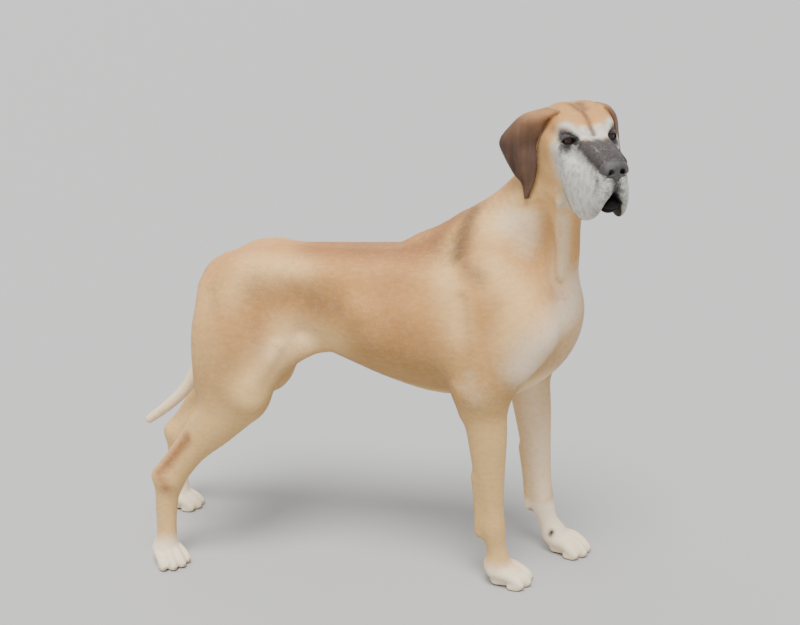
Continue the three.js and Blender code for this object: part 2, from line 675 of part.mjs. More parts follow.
const EAR_GAP = 2.5; // between an ear's root and the faceted skin it grows from
const earRoot = skinOf(grown(flesh, EAR_GAP), HEAD, headGrid(2));
let skull = skinOf(flesh, HEAD, headGrid(0));
for (const side of [LEFT, RIGHT]) {
  for (const lid of lids(side)) skull = skull.add(lid);
}
skull = skull.intersect(headBlock(0));
skull = skull.subtract(skinOf(grown(noseField, 0.5), HEAD, noseGrid));
skull = skull.subtract(skinOf(grown(jawField, 1.4), HEAD, jawGrid));
for (const side of [LEFT, RIGHT]) {
  skull = skull.subtract(eyeball(side, EYE_RADIUS + GAP + 0.2)).subtract(opening(side));
  add(`eye_${sideName[side]}`, eyeball(side, EYE_RADIUS), EYE);
  add(`ear_${sideName[side]}`, ear(side).subtract(earRoot), DARK);
}
const nostrils = bothSides((side) => [
  solidOf(new THREE.SphereGeometry(5.5, 10, 8).scale(1.6, 1, 1.1).translate(MUZZLE_LENGTH + 3, side * 11, -22), HEAD),
]);
add("head", skull, GREY);
add("lower_jaw", jaw, DARK);
add("nose", nostrils.reduce((solid, hole) => solid.subtract(hole), nose), BLACK);

// Neck and torso.
const COARSE = 29;
const neckSkin = skinOf(flesh, BODY, [
  gridLines(-70, 330, () => COARSE),
  gridLines(-190, 130, () => COARSE),
  gridLines(540, 1060, () => COARSE),
]);
const TORSO_CUT = frameAt([96, 0, 716], 0, -42); // +X points out of the chest into the neck
const neckBlock = (extra) => block([0, -220, -150], [420, 220, 190], TORSO_CUT, extra);
const neckSolid = neckSkin.intersect(neckBlock(0)).subtract(headBlock(GAP));
add("neck", neckSolid, FAWN);

const FORELEG_TOP = 430;
const FORELEG_LEAN = 5; // the inner face leans under the chest, in degrees
const forelegBlock = (side, extra) => {
  const frame = new THREE.Matrix4()
    .makeTranslation(ELBOW[side][0], side * 58, FORELEG_TOP)
    .multiply(new THREE.Matrix4().makeRotationX(radians(-side * FORELEG_LEAN)));
  const [inner, outer] = side === LEFT ? [0, 120] : [-120, 0];
  return block([-90, inner, -470], [140, outer, 0], frame, extra);
};
const HINDLEG_TOP = 508;
const HINDLEG_LEAN = 19; // the cut falls towards the flank, in degrees
const hindlegBlock = (side, extra) => {
  const frame = new THREE.Matrix4()
    .makeTranslation(-490, side * 3, HINDLEG_TOP)
    .multiply(new THREE.Matrix4().makeRotationY(radians(HINDLEG_LEAN)));
  const [inner, outer] = side === LEFT ? [0, 260] : [-260, 0];
  return block([-400, inner, -660], [220, outer, 0], frame, extra);
};

const TAIL_GRID = [
  gridLines(-790, -500, () => 12),
  gridLines(-60, 46, () => 11),
  gridLines(260, 720, (z) => (z < 400 ? 10.5 : 18)),
];
const TAIL_CUT = frameAt([-572, 0, 634], 180, 60); // +X points down out of the rump into the tail
const tailBlock = (extra) => block([0, -70, -460], [440, 70, 90], TAIL_CUT, extra);
const tailSolid = skinOf(tailField, BODY, TAIL_GRID).intersect(tailBlock(0));
const tailRoom = skinOf(grown(tailField, 3), BODY, TAIL_GRID).intersect(tailBlock(GAP));

let torso = skinOf(flesh, BODY, [
  gridLines(-660, 270, () => COARSE),
  gridLines(-180, 180, () => COARSE),
  gridLines(340, 840, () => COARSE),
]);
torso = torso.subtract(neckBlock(GAP));
for (const side of [LEFT, RIGHT]) torso = torso.subtract(forelegBlock(side, GAP)).subtract(hindlegBlock(side, GAP));
add("torso", torso.subtract(tailRoom), FAWN);
add("tail", tailSolid, PALE);

// Legs, paws and claws.
const LIMB = 22;
const PAW_CELL = 11;
for (const side of [LEFT, RIGHT]) {
  const name = sideName[side];
  const limbs = [
    {
      kind: "fore",
      place: FOREPAW,
      turn: FOREPAW_TURN,
      scale: 0.95,
      cuff: 50,
      region: forelegBlock(side, 0),
      grid: [gridLines(-60, 260, () => LIMB), gridLines(20, 170, () => LIMB), gridLines(14, 480, () => LIMB)],
    },
    {
      kind: "hind",
      place: HINDPAW,
      turn: HINDPAW_TURN,
      scale: 0.88,
      cuff: 46,
      region: hindlegBlock(side, 0),
      grid: [gridLines(-830, -330, () => LIMB), gridLines(-10, 210, () => LIMB), gridLines(14, 620, () => LIMB)],
    },
  ];
  for (const { kind, place, turn, scale, cuff, region, grid } of limbs) {
    const frame = pawFrame(place, turn, side);
    const ys = side === LEFT ? grid[1] : grid[1].map((y) => -y).reverse();
    const cuffBlock = (extra) => block([-90, -80, -20], [90, 80, cuff], frame, extra);
    const leg = skinOf(flesh, BODY, [grid[0], ys, grid[2]]).intersect(region).subtract(cuffBlock(GAP));
    add(`${kind}leg_${name}`, leg.subtract(tailRoom), PALE);
    const limb = kind === "fore" ? foreleg(side) : hindleg(side);
    const pawSkin = skinOf(fieldOf([...limb, ...paw(frame, scale)]), frame, [
      gridLines(-76, 76, () => PAW_CELL),
      gridLines(-58, 58, () => PAW_CELL),
      gridLines(-14, 74, () => PAW_CELL),
    ]);
    const above = block([-90, -80, 0], [90, 80, cuff], frame);
    let foot = pawSkin.intersect(above);
    TOE_SPREAD.forEach((y, n) => {
      foot = foot.subtract(claw(frame, scale, clawPlace(y), GAP));
      add(`claw_${kind}_${name}_${n + 1}`, claw(frame, scale, clawPlace(y)), HORN);
    });
    add(`${kind}paw_${name}`, foot, WHITE);
  }
}

// The origin goes to the middle of the model's box, on the floor.
const box = new THREE.Box3().setFromObject(dog);
const middle = box.getCenter(new THREE.Vector3());
dog.position.set(-middle.x, -middle.y, 0);

export default dog;
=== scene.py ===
import math

import bpy
import numpy as np
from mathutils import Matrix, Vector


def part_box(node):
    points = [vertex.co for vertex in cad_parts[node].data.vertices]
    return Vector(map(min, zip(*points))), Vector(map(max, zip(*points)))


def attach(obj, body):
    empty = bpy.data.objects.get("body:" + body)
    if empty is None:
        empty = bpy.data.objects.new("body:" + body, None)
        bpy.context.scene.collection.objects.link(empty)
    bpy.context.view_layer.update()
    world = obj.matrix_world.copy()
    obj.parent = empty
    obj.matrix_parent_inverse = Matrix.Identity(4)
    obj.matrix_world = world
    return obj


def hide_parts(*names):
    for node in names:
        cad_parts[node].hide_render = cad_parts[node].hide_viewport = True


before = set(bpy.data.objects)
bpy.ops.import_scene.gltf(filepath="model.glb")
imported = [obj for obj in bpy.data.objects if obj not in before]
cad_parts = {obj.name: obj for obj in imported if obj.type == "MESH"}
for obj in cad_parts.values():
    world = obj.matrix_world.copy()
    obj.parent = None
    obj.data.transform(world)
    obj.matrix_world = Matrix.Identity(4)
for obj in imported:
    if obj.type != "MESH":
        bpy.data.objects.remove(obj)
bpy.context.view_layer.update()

import openvdb
from mathutils import Euler, Matrix, Vector
from mathutils.bvhtree import BVHTree

# The camera stands on the dog's right, a little ahead of it, at a standing person's eye height. Lengths of
# the animal are in millimetres from the floor point under its withers; `to_model` makes them metres of the
# model, where the right eye fixes their place.
HEAD_AT = np.array([246.0, -122.0, 952.0])
HEAD_TURN = Euler((math.radians(2.5), math.radians(7), math.radians(-64.6)), "XYZ").to_matrix()
HEAD_AXES = np.array(HEAD_TURN)  # columns: out of the nose, to the dog's left, up
EYE_CENTRE = np.array([-7.0, 38.0, 0.0])
RIGHT_EYE = HEAD_AT + HEAD_AXES @ (EYE_CENTRE * (1, -1, 1))
low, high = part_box("eye_right")
SHIFT = (np.array(low) + np.array(high)) / 2 * 1000 - RIGHT_EYE
SHIFT[2] = 0


def to_model(points):
    return (np.asarray(points) + SHIFT) / 1000


LENS, SENSOR = 54, 36
CAMERA_AT = (496.3, -2328.3, 1293.3)
CAMERA_RIGHT = Vector((0.96460835, 0.26156187, -0.03340844))
CAMERA_UP = Vector((-0.04485732, 0.28762352, 0.95669249))
camera_data = bpy.data.cameras.new("camera")
camera_data.sensor_width = SENSOR
camera_data.lens = LENS
camera = bpy.data.objects.new("camera", camera_data)
CAMERA_BACK = CAMERA_RIGHT.cross(CAMERA_UP)
camera_turn = Matrix((CAMERA_RIGHT, CAMERA_UP, CAMERA_BACK)).transposed()
camera.matrix_world = Matrix.Translation(to_model(CAMERA_AT)) @ camera_turn.to_4x4()
bpy.context.collection.objects.link(camera)
bpy.context.scene.camera = camera


# The floor: one plain pale matt sheet under the whole dog, far wider than the picture. Its material is the
# first, so the class for shader maths is here too.
class Shade:
    """A shader socket that takes arithmetic, and the one method that makes every other node."""

    tree = None

    def __init__(self, socket):
        self.socket = socket

    @staticmethod
    def put(value, target):
        if isinstance(value, Shade):
            Shade.tree.links.new(value.socket, target)
        elif target.type == "RGBA" and len(value) == 3:
            target.default_value = (*value, 1)
        else:
            target.default_value = value

    @staticmethod
    def node(kind, settings=None, out=0, **inputs):
        """Inputs go by name, with _ for a space, or by place as i0, i1 and so on."""
        made = Shade.tree.nodes.new(kind)
        for name, value in (settings or {}).items():
            setattr(made, name, value)
        for name, value in inputs.items():
            by_place = name[0] == "i" and name[1:].isdigit()
            Shade.put(value, made.inputs[int(name[1:]) if by_place else name.replace("_", " ")])
        return Shade(made.outputs[out])

    def maths(self, operation, other, flipped=False):
        pair = (other, self) if flipped else (self, other)
        return Shade.node("ShaderNodeMath", {"operation": operation}, i0=pair[0], i1=pair[1])

    def __add__(self, other):
        return self.maths("ADD", other)

    def __radd__(self, other):
        return self.maths("ADD", other, flipped=True)

    def __sub__(self, other):
        return self.maths("SUBTRACT", other)

    def __rsub__(self, other):
        return self.maths("SUBTRACT", other, flipped=True)

    def __mul__(self, other):
        return self.maths("MULTIPLY", other)

    def __rmul__(self, other):
        return self.maths("MULTIPLY", other, flipped=True)

    def __truediv__(self, other):
        return self.maths("DIVIDE", other)

    def clamped(self):
        return self.maths("MINIMUM", 1.0).maths("MAXIMUM", 0.0)

    def over(self, low, high):
        return ((self - low) / (high - low)).clamped()


def new_material(name, roughness=0.5, **uniform):
    material = bpy.data.materials.new(name)
    material.use_nodes = True
    Shade.tree = material.node_tree
    shader = material.node_tree.nodes["Principled BSDF"]
    shader.inputs["Roughness"].default_value = roughness
    for key, value in uniform.items():
        shader.inputs[key.replace("_", " ")].default_value = value
    return material, shader


FLOOR_HALF = 400.0
FLOOR_GREY = (0.42, 0.42, 0.408, 1)
floor_mesh = bpy.data.meshes.new("floor")
corners = [(x * FLOOR_HALF, y * FLOOR_HALF, 0) for x, y in ((-1, -1), (1, -1), (1, 1), (-1, 1))]
floor_mesh.from_pydata(corners, [], [(0, 1, 2, 3)])
floor = bpy.data.objects.new("floor", floor_mesh)
bpy.context.collection.objects.link(floor)
floor_material, floor_shader = new_material("floor", 0.8)
floor_shader.inputs["Base Color"].default_value = FLOOR_GREY
floor_mesh.materials.append(floor_material)

# The lights: an even pale sky, a large soft lamp above the dog's right side, and a weaker one behind it. Each
# lamp has the way towards it, how wide it looks, in degrees, and its strength.
SKY, SKY_STRENGTH = (0.95, 0.97, 1.0, 1), 0.82
LAMPS = [
    ("key", (0.10, -0.40, 0.95), 28, 4.7),
    ("fill", (-0.60, 0.30, 0.75), 60, 0.6),
]
world = bpy.data.worlds.new("sky")
bpy.context.scene.world = world
world.use_nodes = True
sky = world.node_tree.nodes["Background"]
sky.inputs["Color"].default_value = SKY
sky.inputs["Strength"].default_value = SKY_STRENGTH
for name, toward, spread, power in LAMPS:
    lamp_data = bpy.data.lights.new(name, "SUN")
    lamp_data.angle = math.radians(spread)
    lamp_data.energy = power
    lamp = bpy.data.objects.new(name, lamp_data)
    lamp.rotation_euler = Vector(toward).to_track_quat("Z", "Y").to_euler()
    bpy.context.collection.objects.link(lamp)

# The skin: one hide over the whole dog, drawn over muscles and bones. It is the surface of a field of oval
# strokes laid along the skeleton, each melting into the ones before it. A station of a stroke is its middle,
# half its width and half its depth. First come the joints that set the pose, as (ahead, out to the side, up).
LEFT, RIGHT = 1, -1
ELBOW = {RIGHT: (34, 98, 430), LEFT: (90, 96, 432)}
CARPUS = {RIGHT: (50, 85, 128), LEFT: (128, 82, 118)}
FOREPAW = {RIGHT: (76, 84, 0), LEFT: (179, 78, 0)}
FOREPAW_TURN = {RIGHT: 2, LEFT: -12}
FOREPAW_SCALE = 0.95
STIFLE = {RIGHT: (-470, 112, 392), LEFT: (-498, 110, 382)}
HOCK = {RIGHT: (-662, 128, 196), LEFT: (-758, 130, 190)}
HINDPAW = {RIGHT: (-674, 149, 0), LEFT: (-766, 120, 0)}
HINDPAW_TURN = {RIGHT: -38, LEFT: 6}
HINDPAW_SCALE = 0.88
STEPS = 5  # pieces of a stroke between two stations
FAR = 60.0  # the field starts at this distance

IDENTITY = (np.eye(3), np.zeros(3))
HEAD = (HEAD_AXES, HEAD_AT)


def paw_base(place, degrees, side):
    turn = math.radians(degrees)
    axes = np.array([[math.cos(turn), -math.sin(turn), 0], [math.sin(turn), math.cos(turn), 0], [0, 0, 1]])
    return axes, np.array([place[side][0], side * place[side][1], place[side][2]], float)


def mix(a, b, t):
    return a + (b - a) * t


def smooth_rows(stations, steps=STEPS):
    rows = np.array(stations, float)
    at = np.vstack([rows[0], rows, rows[-1]])
    out = []
    for i in range(1, len(at) - 2):
        a, b, c, d = at[i - 1], at[i], at[i + 1], at[i + 2]
        for t in np.arange(steps) / steps:
            bend = 2 * a - 5 * b + 4 * c - d
            twist = 3 * b - a - 3 * c + d
            out.append(0.5 * (2 * b + (c - a) * t + bend * t**2 + twist * t**3))
    out.append(rows[-1])
    return np.array(out)


class Stroke:
    """An oval rod through its stations, in its own axes, which melts into the field or is cut from it."""

    def __init__(self, stations, base=IDENTITY, across=(0, 1, 0), blend=30.0, cut=False):
        axes, origin = base
        rows = smooth_rows(stations)
        self.centres = rows[:, :3] @ axes.T + origin
        self.wide, self.deep = rows[:, 3], rows[:, 4]
        side = np.array(across, float)
        self.side = axes @ (side / np.linalg.norm(side))
        self.blend, self.cut = blend, cut

    def spans(self):
        for i in range(len(self.centres) - 1):
            reach = max(self.wide[i], self.wide[i + 1], self.deep[i], self.deep[i + 1]) + self.blend
            both = self.centres[i:i + 2]
            yield i, both.min(0) - reach, both.max(0) + reach

    def distance(self, i, x, y, z):
        a, b = self.centres[i], self.centres[i + 1]
        line = b - a
        px, py, pz = x - a[0], y - a[1], z - a[2]
        t = np.clip((px * line[0] + py * line[1] + pz * line[2]) / max(line @ line, 1e-9), 0, 1)
        px, py, pz = px - t * line[0], py - t * line[1], pz - t * line[2]
        wide = self.wide[i] + (self.wide[i + 1] - self.wide[i]) * t
        deep = self.deep[i] + (self.deep[i + 1] - self.deep[i]) * t
        u = px * self.side[0] + py * self.side[1] + pz * self.side[2]
        v2 = np.maximum(px * px + py * py + pz * pz - u * u, 0)
        ratio = np.sqrt((u / wide) ** 2 + v2 / deep**2)
        slope = np.sqrt((u / wide**2) ** 2 + v2 / deep**4) + 1e-6
        return np.maximum(ratio * (ratio - 1) / slope, -np.minimum(wide, deep))


def on_side(side, stations):
    return [(x, side * y, *rest) for x, y, *rest in stations]


def sided(make):
    return [*make(LEFT), *make(RIGHT)]


def laid(side, *rows):
    return [Stroke(on_side(side, stations), blend=blend) for blend, stations in rows]


# The trunk: a deep barrel of ribs tucked up at the flank, high withers, a breastbone and two ropes of loin.
def trunk():
    ribs = [  # place along the trunk, top, bottom and half width
        (128, 662, 506, 64), (90, 716, 446, 92), (30, 754, 402, 112), (-50, 742, 393, 124),
        (-130, 715, 414, 128), (-210, 709, 444, 122), (-290, 708, 474, 106), (-360, 706, 496, 92),
        (-430, 706, 514, 88), (-495, 691, 536, 84), (-543, 660, 556, 68),
    ]
    barrel = Stroke([(x, 0, (top + low) / 2, half, (top - low) / 2) for x, top, low, half in ribs])
    withers = Stroke([(56, 0, 744, 32, 52), (0, 0, 726, 32, 50), (-80, 0, 690, 38, 42)], blend=40)
    breastbone = Stroke([(166, 0, 594, 38, 36), (138, 0, 506, 50, 40), (76, 0, 444, 54, 38)], blend=40)
    loins = [(-100, 48, 660, 44, 34), (-260, 48, 654, 46, 34), (-420, 50, 656, 46, 34)]
    return [barrel, withers, breastbone, *sided(lambda side: laid(side, (34, loins)))]


# The shoulder: blade, upper arm and the muscle behind it, swung forward with the leg.
def shoulder(side):
    ex, ey, ez = ELBOW[side]
    swing = (ex - 34) * 0.25
    blade = [(6, 44, 720, 30, 46), (52, 78, 640, 34, 60), (112 + swing, 94, 566, 38, 58)]
    arm = [(122 + swing, 90, 560, 42, 54), (80 + swing, 98, 500, 42, 58), (ex + 8, ey, ez + 16, 38, 54)]
    triceps = [(-22, 84, 610, 30, 56), (-8 + swing, 94, 520, 36, 52), (ex - 26, ey + 4, ez + 12, 28, 30)]
    return laid(side, (45, blade), (35, arm), (35, triceps))


# The foreleg: a straight column with the knuckle of the carpus, the point of the elbow and a tendon behind.
def foreleg(side):
    ex, ey, ez = ELBOW[side]
    cx, cy, cz = CARPUS[side]
    px, py, _ = FOREPAW[side]

    def along(t, bow=0):
        return (mix(ex, cx, t) + bow, mix(ey, cy, t), mix(ez, cz, t))

    shaft = [
        (*along(0), 35, 50),
        (*along(0.28, 3), 34, 43),
        (*along(0.58, 1), 29, 34),
        (*along(0.84), 25, 27),
        (cx, cy, cz, 28, 27),
        (mix(cx, px, 0.22), mix(cy, py, 0.3), cz * 0.66, 23, 22),
        (mix(cx, px, 0.5), mix(cy, py, 0.6), 46, 27, 24),
    ]
    elbow = [(ex - 36, ey + 3, ez + 16, 15, 16), (ex - 26, ey, ez - 40, 17, 20)]
    tendon = [(*along(0.62, -26), 12, 11), (*along(0.86, -27), 12, 11), (cx - 28, cy, cz - 14, 12, 13)]
    return laid(side, (30, shaft), (24, elbow), (16, tendon))


# The hindleg, from the hip down: thigh, its front edge, the fold of the flank, hamstring, lower thigh, the
# cord above the hock, and the long rear foot.
def hindleg(side):
    sx, sy, sz = STIFLE[side]
    hx, hy, hz = HOCK[side]
    px, py, _ = HINDPAW[side]
    back = (sx + 470) * 0.5
    cord = [(74, sy + 2, 130, 15, 22), (8, hy - 2, 56, 9, 12), (-28, hy, 10, 14, 14)]
    return laid(
        side,
        (45, [(-474, 66, 612, 48, 84), (-500 + back, 84, 520, 52, 96), (-508 + back, 100, 430, 46, 78)]),
        (35, [(-412, 66, 600, 34, 44), (-416 + back, 94, 496, 34, 40), (sx + 12, sy, sz + 14, 32, 34)]),
        (24, [(-318, 66, 508, 10, 20), (-352, 80, 500, 10, 24), (-392, 92, 484, 14, 30)]),
        (35, [(-540, 52, 612, 40, 44), (-551, 70, 520, 42, 42), (-558 + back, 92, 410, 36, 40)]),
        (30, [
            (sx - 22, sy, sz - 4, 38, 58),
            (mix(sx, hx, 0.38) - 8, mix(sy, hy, 0.38), mix(sz, hz, 0.32), 33, 50),
            (mix(sx, hx, 0.72), mix(sy, hy, 0.72), mix(sz, hz, 0.66), 24, 32),
            (hx, hy, hz, 25, 31),
        ]),
        (20, [(hx + x, y, hz + z, *size) for x, y, z, *size in cord]),
        (22, [
            (hx - 8, hy, hz - 8, 24, 30),
            (mix(hx, px, 0.2) - 12, mix(hy, py, 0.3), hz * 0.62, 20, 25),
            (mix(hx, px, 0.4) - 10, mix(hy, py, 0.6), hz * 0.38, 20, 23),
            (mix(hx, px, 0.7) - 6, mix(hy, py, 0.9), 42, 26, 24),
        ]),
    )


# A paw: its back over the big pad, and four toes, the outer two set back and a little smaller.
TOES = (-30, -11, 11, 30)


def toe_size(y):
    return (-13, 0.92) if abs(y) > 20 else (0, 1)


def paw(base, scale):
    def at(rows):
        return np.array(rows, float) * scale

    strokes = [
        Stroke(at([(-26, 0, 42, 26, 24), (-4, 0, 28, 32, 20)]), base, blend=18),
        Stroke(at([(-20, 0, 12, 26, 16), (4, 0, 11, 27, 15)]), base, blend=10),
    ]
    for y in TOES:
        back, size = toe_size(y)
        toe = [
            (-12 + back, y * 0.62, 34, 15 * size, 16 * size),
            (20 + back, y * 0.92, 33 * size, 13.5 * size, 15 * size),
            (40 + back, y * 1.04, 21 * size, 13 * size, 14 * size),
            (48 + back, y * 1.08, 13, 11.5 * size, 12 * size),
        ]
        pad = [(30 + back, y, 8, 11, 12), (40 + back, y * 1.04, 7, 11, 11)]
        strokes += [Stroke(at(toe), base, blend=7), Stroke(at(pad), base, blend=6)]
    return strokes


# The neck: its column, the throat in front and the crest behind, all turning to the right as they rise.
def neck():
    column = [(44, 0, 684, 78, 106), (100, -6, 764, 63, 80), (150, -20, 842, 56, 58), (186, -42, 914, 54, 48)]
    throat = [(162, 0, 606, 42, 42), (182, -4, 690, 38, 34), (190, -30, 774, 38, 32), (200, -62, 842, 42, 38)]
    crest = [(26, 0, 722, 30, 40), (105, -4, 803, 26, 34), (160, -18, 884, 30, 34)]
    return [Stroke(column, blend=40), Stroke(throat, blend=26), Stroke(crest, blend=28)]


# The head, in its own axes: a long flat skull, a square muzzle, and flews that hang in a deep curve. The dark
# hem of the flews follows their row.
FLEWS = [
    (124, 13, -50, 13, 26), (112, 19, -59, 12, 33), (88, 25, -74, 11, 46), (56, 32, -84, 11, 51),
    (28, 37, -82, 11, 49), (4, 42, -66, 11, 34), (-18, 44, -48, 10, 20),
]


def head():
    def both(rows, blend, cut=False):
        return sided(lambda side: [Stroke(on_side(side, rows), HEAD, blend=blend, cut=cut)])

    skull = [(-122, 0, -2, 46, 40), (-84, 0, 3, 58, 42), (-36, 0, 3, 54, 38), (-8, 0, 0, 41, 29)]
    muzzle = [(-10, 0, -24, 40, 29), (40, 0, -24, 32, 31), (100, 0, -26, 27, 28), (122, 0, -30, 24, 25)]
    forehead = [(-108, 27, 12, 28, 29), (-66, 29, 16, 28, 29), (-26, 27, 11, 22, 22), (2, 20, 4, 15, 14)]
    brow = [(-36, 38, 20, 14, 10), (-10, 33, 18, 15, 9), (10, 24, 10, 12, 9)]
    cheekbone = [(-96, 54, -14, 12, 18), (-50, 58, -18, 11, 16), (-8, 47, -20, 12, 14)]
    cheek = [(-96, 40, -44, 24, 34), (-52, 44, -54, 19, 34), (-16, 36, -46, 18, 28)]
    bridge = [(4, 18, 0, 14, 13), (60, 17, -6, 14, 12), (122, 15, -12, 13, 12)]
    throat = [(-70, 0, -58, 46, 40), (-112, 0, -44, 50, 54)]
    stop = [(17, 46, 1, 19, 13), (34, 52, 3, 19, 13)]  # the hollow in front of each eye
    return [
        Stroke(skull, HEAD, blend=32),
        *both(forehead, 15),
        *both(brow, 14),
        *both(cheekbone, 22),
        *both(cheek, 26),
        Stroke(muzzle, HEAD, blend=16),
        *both(bridge, 12),
        *both(FLEWS, 12),
        Stroke(throat, HEAD, blend=40),
        *both(stop, 8, cut=True),
    ]


def lower_jaw():
    return [
        Stroke([(10, 0, -78, 26, 14), (70, 0, -88, 19, 15), (108, 0, -94, 19, 15)], HEAD, blend=8),
        Stroke([(104, 0, -90, 20, 13), (118, 0, -88, 17, 12)], HEAD, blend=5),
    ]


# The tail: it hangs from the croup and sweeps back past the hocks, blunt at its end.
TAIL = [
    (-538, 0, 648, 30, 30),
    (-568, 0, 634, 27, 27),
    (-596, 0, 586, 22, 23),
    (-609, 0, 510, 19, 20),
    (-625, -2, 436, 17, 17),
    (-660, -10, 370, 15, 15),
    (-706, -20, 325, 13.5, 13.5),
    (-752, -28, 291, 11, 11),
]


class Block:
    """A box of space filled with distances to a surface, on even or uneven lines along each axis."""

    def __init__(self, *axes):
        self.axes = axes
        self.field = np.full([len(a) for a in axes], FAR, np.float32)

    def window(self, low, high):
        return tuple(slice(np.searchsorted(axis, lo), np.searchsorted(axis, hi, "right"))
                     for axis, lo, hi in zip(self.axes, low, high))

    def places(self, part):
        x, y, z = (axis[p] for axis, p in zip(self.axes, part))
        return x[:, None, None], y[None, :, None], z[None, None, :]

    def distances(self, stroke):
        boxes = list(stroke.spans())
        whole = self.window(np.min([b[1] for b in boxes], 0), np.max([b[2] for b in boxes], 0))
        own = np.full(self.field[whole].shape, 1e3, np.float32)
        for i, lo, hi in boxes:
            part = self.window(lo, hi)
            x, y, z = self.places(part)
            if min(x.size, y.size, z.size) == 0:
                continue
            inner = tuple(slice(p.start - w.start, p.stop - w.start) for p, w in zip(part, whole))
            own[inner] = np.minimum(own[inner], stroke.distance(i, x, y, z))
        return whole, own

    def lay(self, stroke):
        whole, own = self.distances(stroke)
        if stroke.cut:
            self.field[whole] = -smooth_min(-self.field[whole], own, stroke.blend)
        else:
            self.field[whole] = smooth_min(self.field[whole], own, stroke.blend)

    def surface(self):
        grid = openvdb.FloatGrid(FAR)
        grid.copyFromArray(self.field)
        index_points, _, quads = grid.convertToPolygons(0.0, 0.0)
        points = np.stack([np.interp(index_points[:, k], np.arange(len(axis)), axis)
                           for k, axis in enumerate(self.axes)], 1)
        return points, quads[:, ::-1].astype(np.int64)


def smooth_min(a, b, k):
    h = np.maximum(k - np.abs(a - b), 0) / k
    return np.minimum(a, b) - h * h * k / 4


def lines(stops):
    """Places along an axis: from each stop to the next in even steps of the stop's own size."""
    out = [stops[0][0]]
    for (start, step), (end, _) in zip(stops, stops[1:]):
        count = max(int(round((end - start) / step)), 1)
        out.extend(np.linspace(start, end, count + 1)[1:])
    return np.array(out, np.float32)


# The grid is finest over the face, and finer at the paws than on the trunk.
PLAIN, PAW, FINE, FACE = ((4.2, 3.0, 2.0, 1.25))
body = Block(
    lines([(-820, PAW), (-590, PLAIN), (10, PAW), (128, FINE), (176, FACE), (318, FINE), (345, FINE)]),
    lines([(-282, FACE), (-62, FINE), (215, FINE)]),
    lines([(-6, FINE * 1.3), (62, PLAIN), (778, FINE), (806, FACE), (1004, FINE), (1036, FINE)]),
)
flesh = [*trunk(), *sided(shoulder), *sided(foreleg), *sided(hindleg), *neck(), *head()]
flesh.append(Stroke(TAIL, blend=24))
for side in (LEFT, RIGHT):
    flesh += paw(paw_base(FOREPAW, FOREPAW_TURN[side], side), FOREPAW_SCALE)
    flesh += paw(paw_base(HINDPAW, HINDPAW_TURN[side], side), HINDPAW_SCALE)
for stroke in flesh:
    body.lay(stroke)

# Forms that show under a short coat: a vein's groove and a ridge on the neck, the edge of the upper arm, the
# point of the elbow, the fold from the flank to the stifle, and the furrow of the brow.
vein = [
    (142, -77, 812, 6, 7), (158, -65, 764, 9, 9), (168, -55, 724, 9, 9),
    (174, -56, 670, 9, 9), (186, -65, 628, 7, 7),
]
ridge = [(188, -98, 826, 7, 8), (186, -74, 782, 8, 9), (184, -49, 723, 8, 9), (181, -43, 668, 8, 9)]
furrow = [(-96, 0, 52, 6, 6), (-46, 0, 50, 6, 6), (-10, 0, 41, 6, 6), (10, 0, 29, 5, 5)]
flank_fold = [(-396, 116, 512, 9, 10), (-418, 126, 478, 11, 12), (-452, 132, 430, 14, 15)]
relief = [Stroke(vein, blend=12, cut=True), Stroke(ridge, blend=12)]
for side in (LEFT, RIGHT):
    swing = ELBOW[side][0] - ELBOW[RIGHT][0]
    arm_edge = [
        (-4 + swing * 0.3, 130, 634, 8, 8),
        (1 + swing * 0.5, 136, 577, 9, 9),
        (5 + swing, 140, 523, 9, 9),
        (-6 + swing, 144, 464, 8, 8),
    ]
    elbow_point = [(-8 + swing, 110, 454, 16, 17), (2 + swing, 108, 430, 14, 15)]
    relief.append(Stroke(on_side(side, arm_edge), blend=16, cut=True))
    relief.append(Stroke(on_side(side, elbow_point), blend=14))
    relief.append(Stroke(on_side(side, flank_fold), blend=18))
relief.append(Stroke(furrow, HEAD, blend=13, cut=True))
for stroke in relief:
    body.lay(stroke)

# The lower jaw shuts against the upper lip, with a crease between them where the lips meet.
LIP_CREASE, LIP_CREASE_WIDTH = 3.2, 2.6
for stroke in lower_jaw():
    whole, own = body.distances(stroke)
    upper = body.field[whole]
    crease = LIP_CREASE * np.exp(-(((upper - own) / LIP_CREASE_WIDTH) ** 2))
    body.field[whole] = smooth_min(upper, own, 3) + crease

# The hide stops short under the nose pad, so that the nostrils can run back into it.
body.lay(Stroke([(124, 0, -19, 18, 11), (138, 0, -19, 18, 11)], HEAD, blend=2, cut=True))

COAT_DEPTH = 1.2  # the hair stands this far out of the hide
body.field += COAT_DEPTH

# Each eye socket: a swelling of both lids over the ball, room for the ball, and the almond opening between
# them. A fold runs above the upper lid and a small bag below the lower one, each part of a circle.
EYE_RADIUS = 12.0
EYE_GAZE = math.radians(18)
OPENING_BOW, OPENING_SET = 15.2, 9.9  # two circles that cross at the corners of the lids
LID_OVER, LID_BLEND, LID_EDGE = 2.6, 6, 2.2
BALL_ROOM = 0.35
SOCKET_REACH = 26
FOLD_BELOW, FOLD_BOW, FOLD_DEPTH, FOLD_WIDTH = 7.5, 20.5, 1.5, 1.5
BAG_ABOVE, BAG_BOW, BAG_DEPTH, BAG_WIDTH = 6.5, 19.5, 1.1, 1.6


def eye_axes(side):
    centre = HEAD_AT + HEAD_AXES @ (EYE_CENTRE * (1, side, 1))
    gaze = HEAD_AXES @ np.array([math.cos(EYE_GAZE), side * math.sin(EYE_GAZE), -0.04])
    gaze /= np.linalg.norm(gaze)
    out = HEAD_AXES @ np.array([-math.sin(EYE_GAZE), side * math.cos(EYE_GAZE), -0.10])
    out -= gaze * (out @ gaze)
    out /= np.linalg.norm(out)
    return centre, gaze, out, np.cross(gaze, out) * side


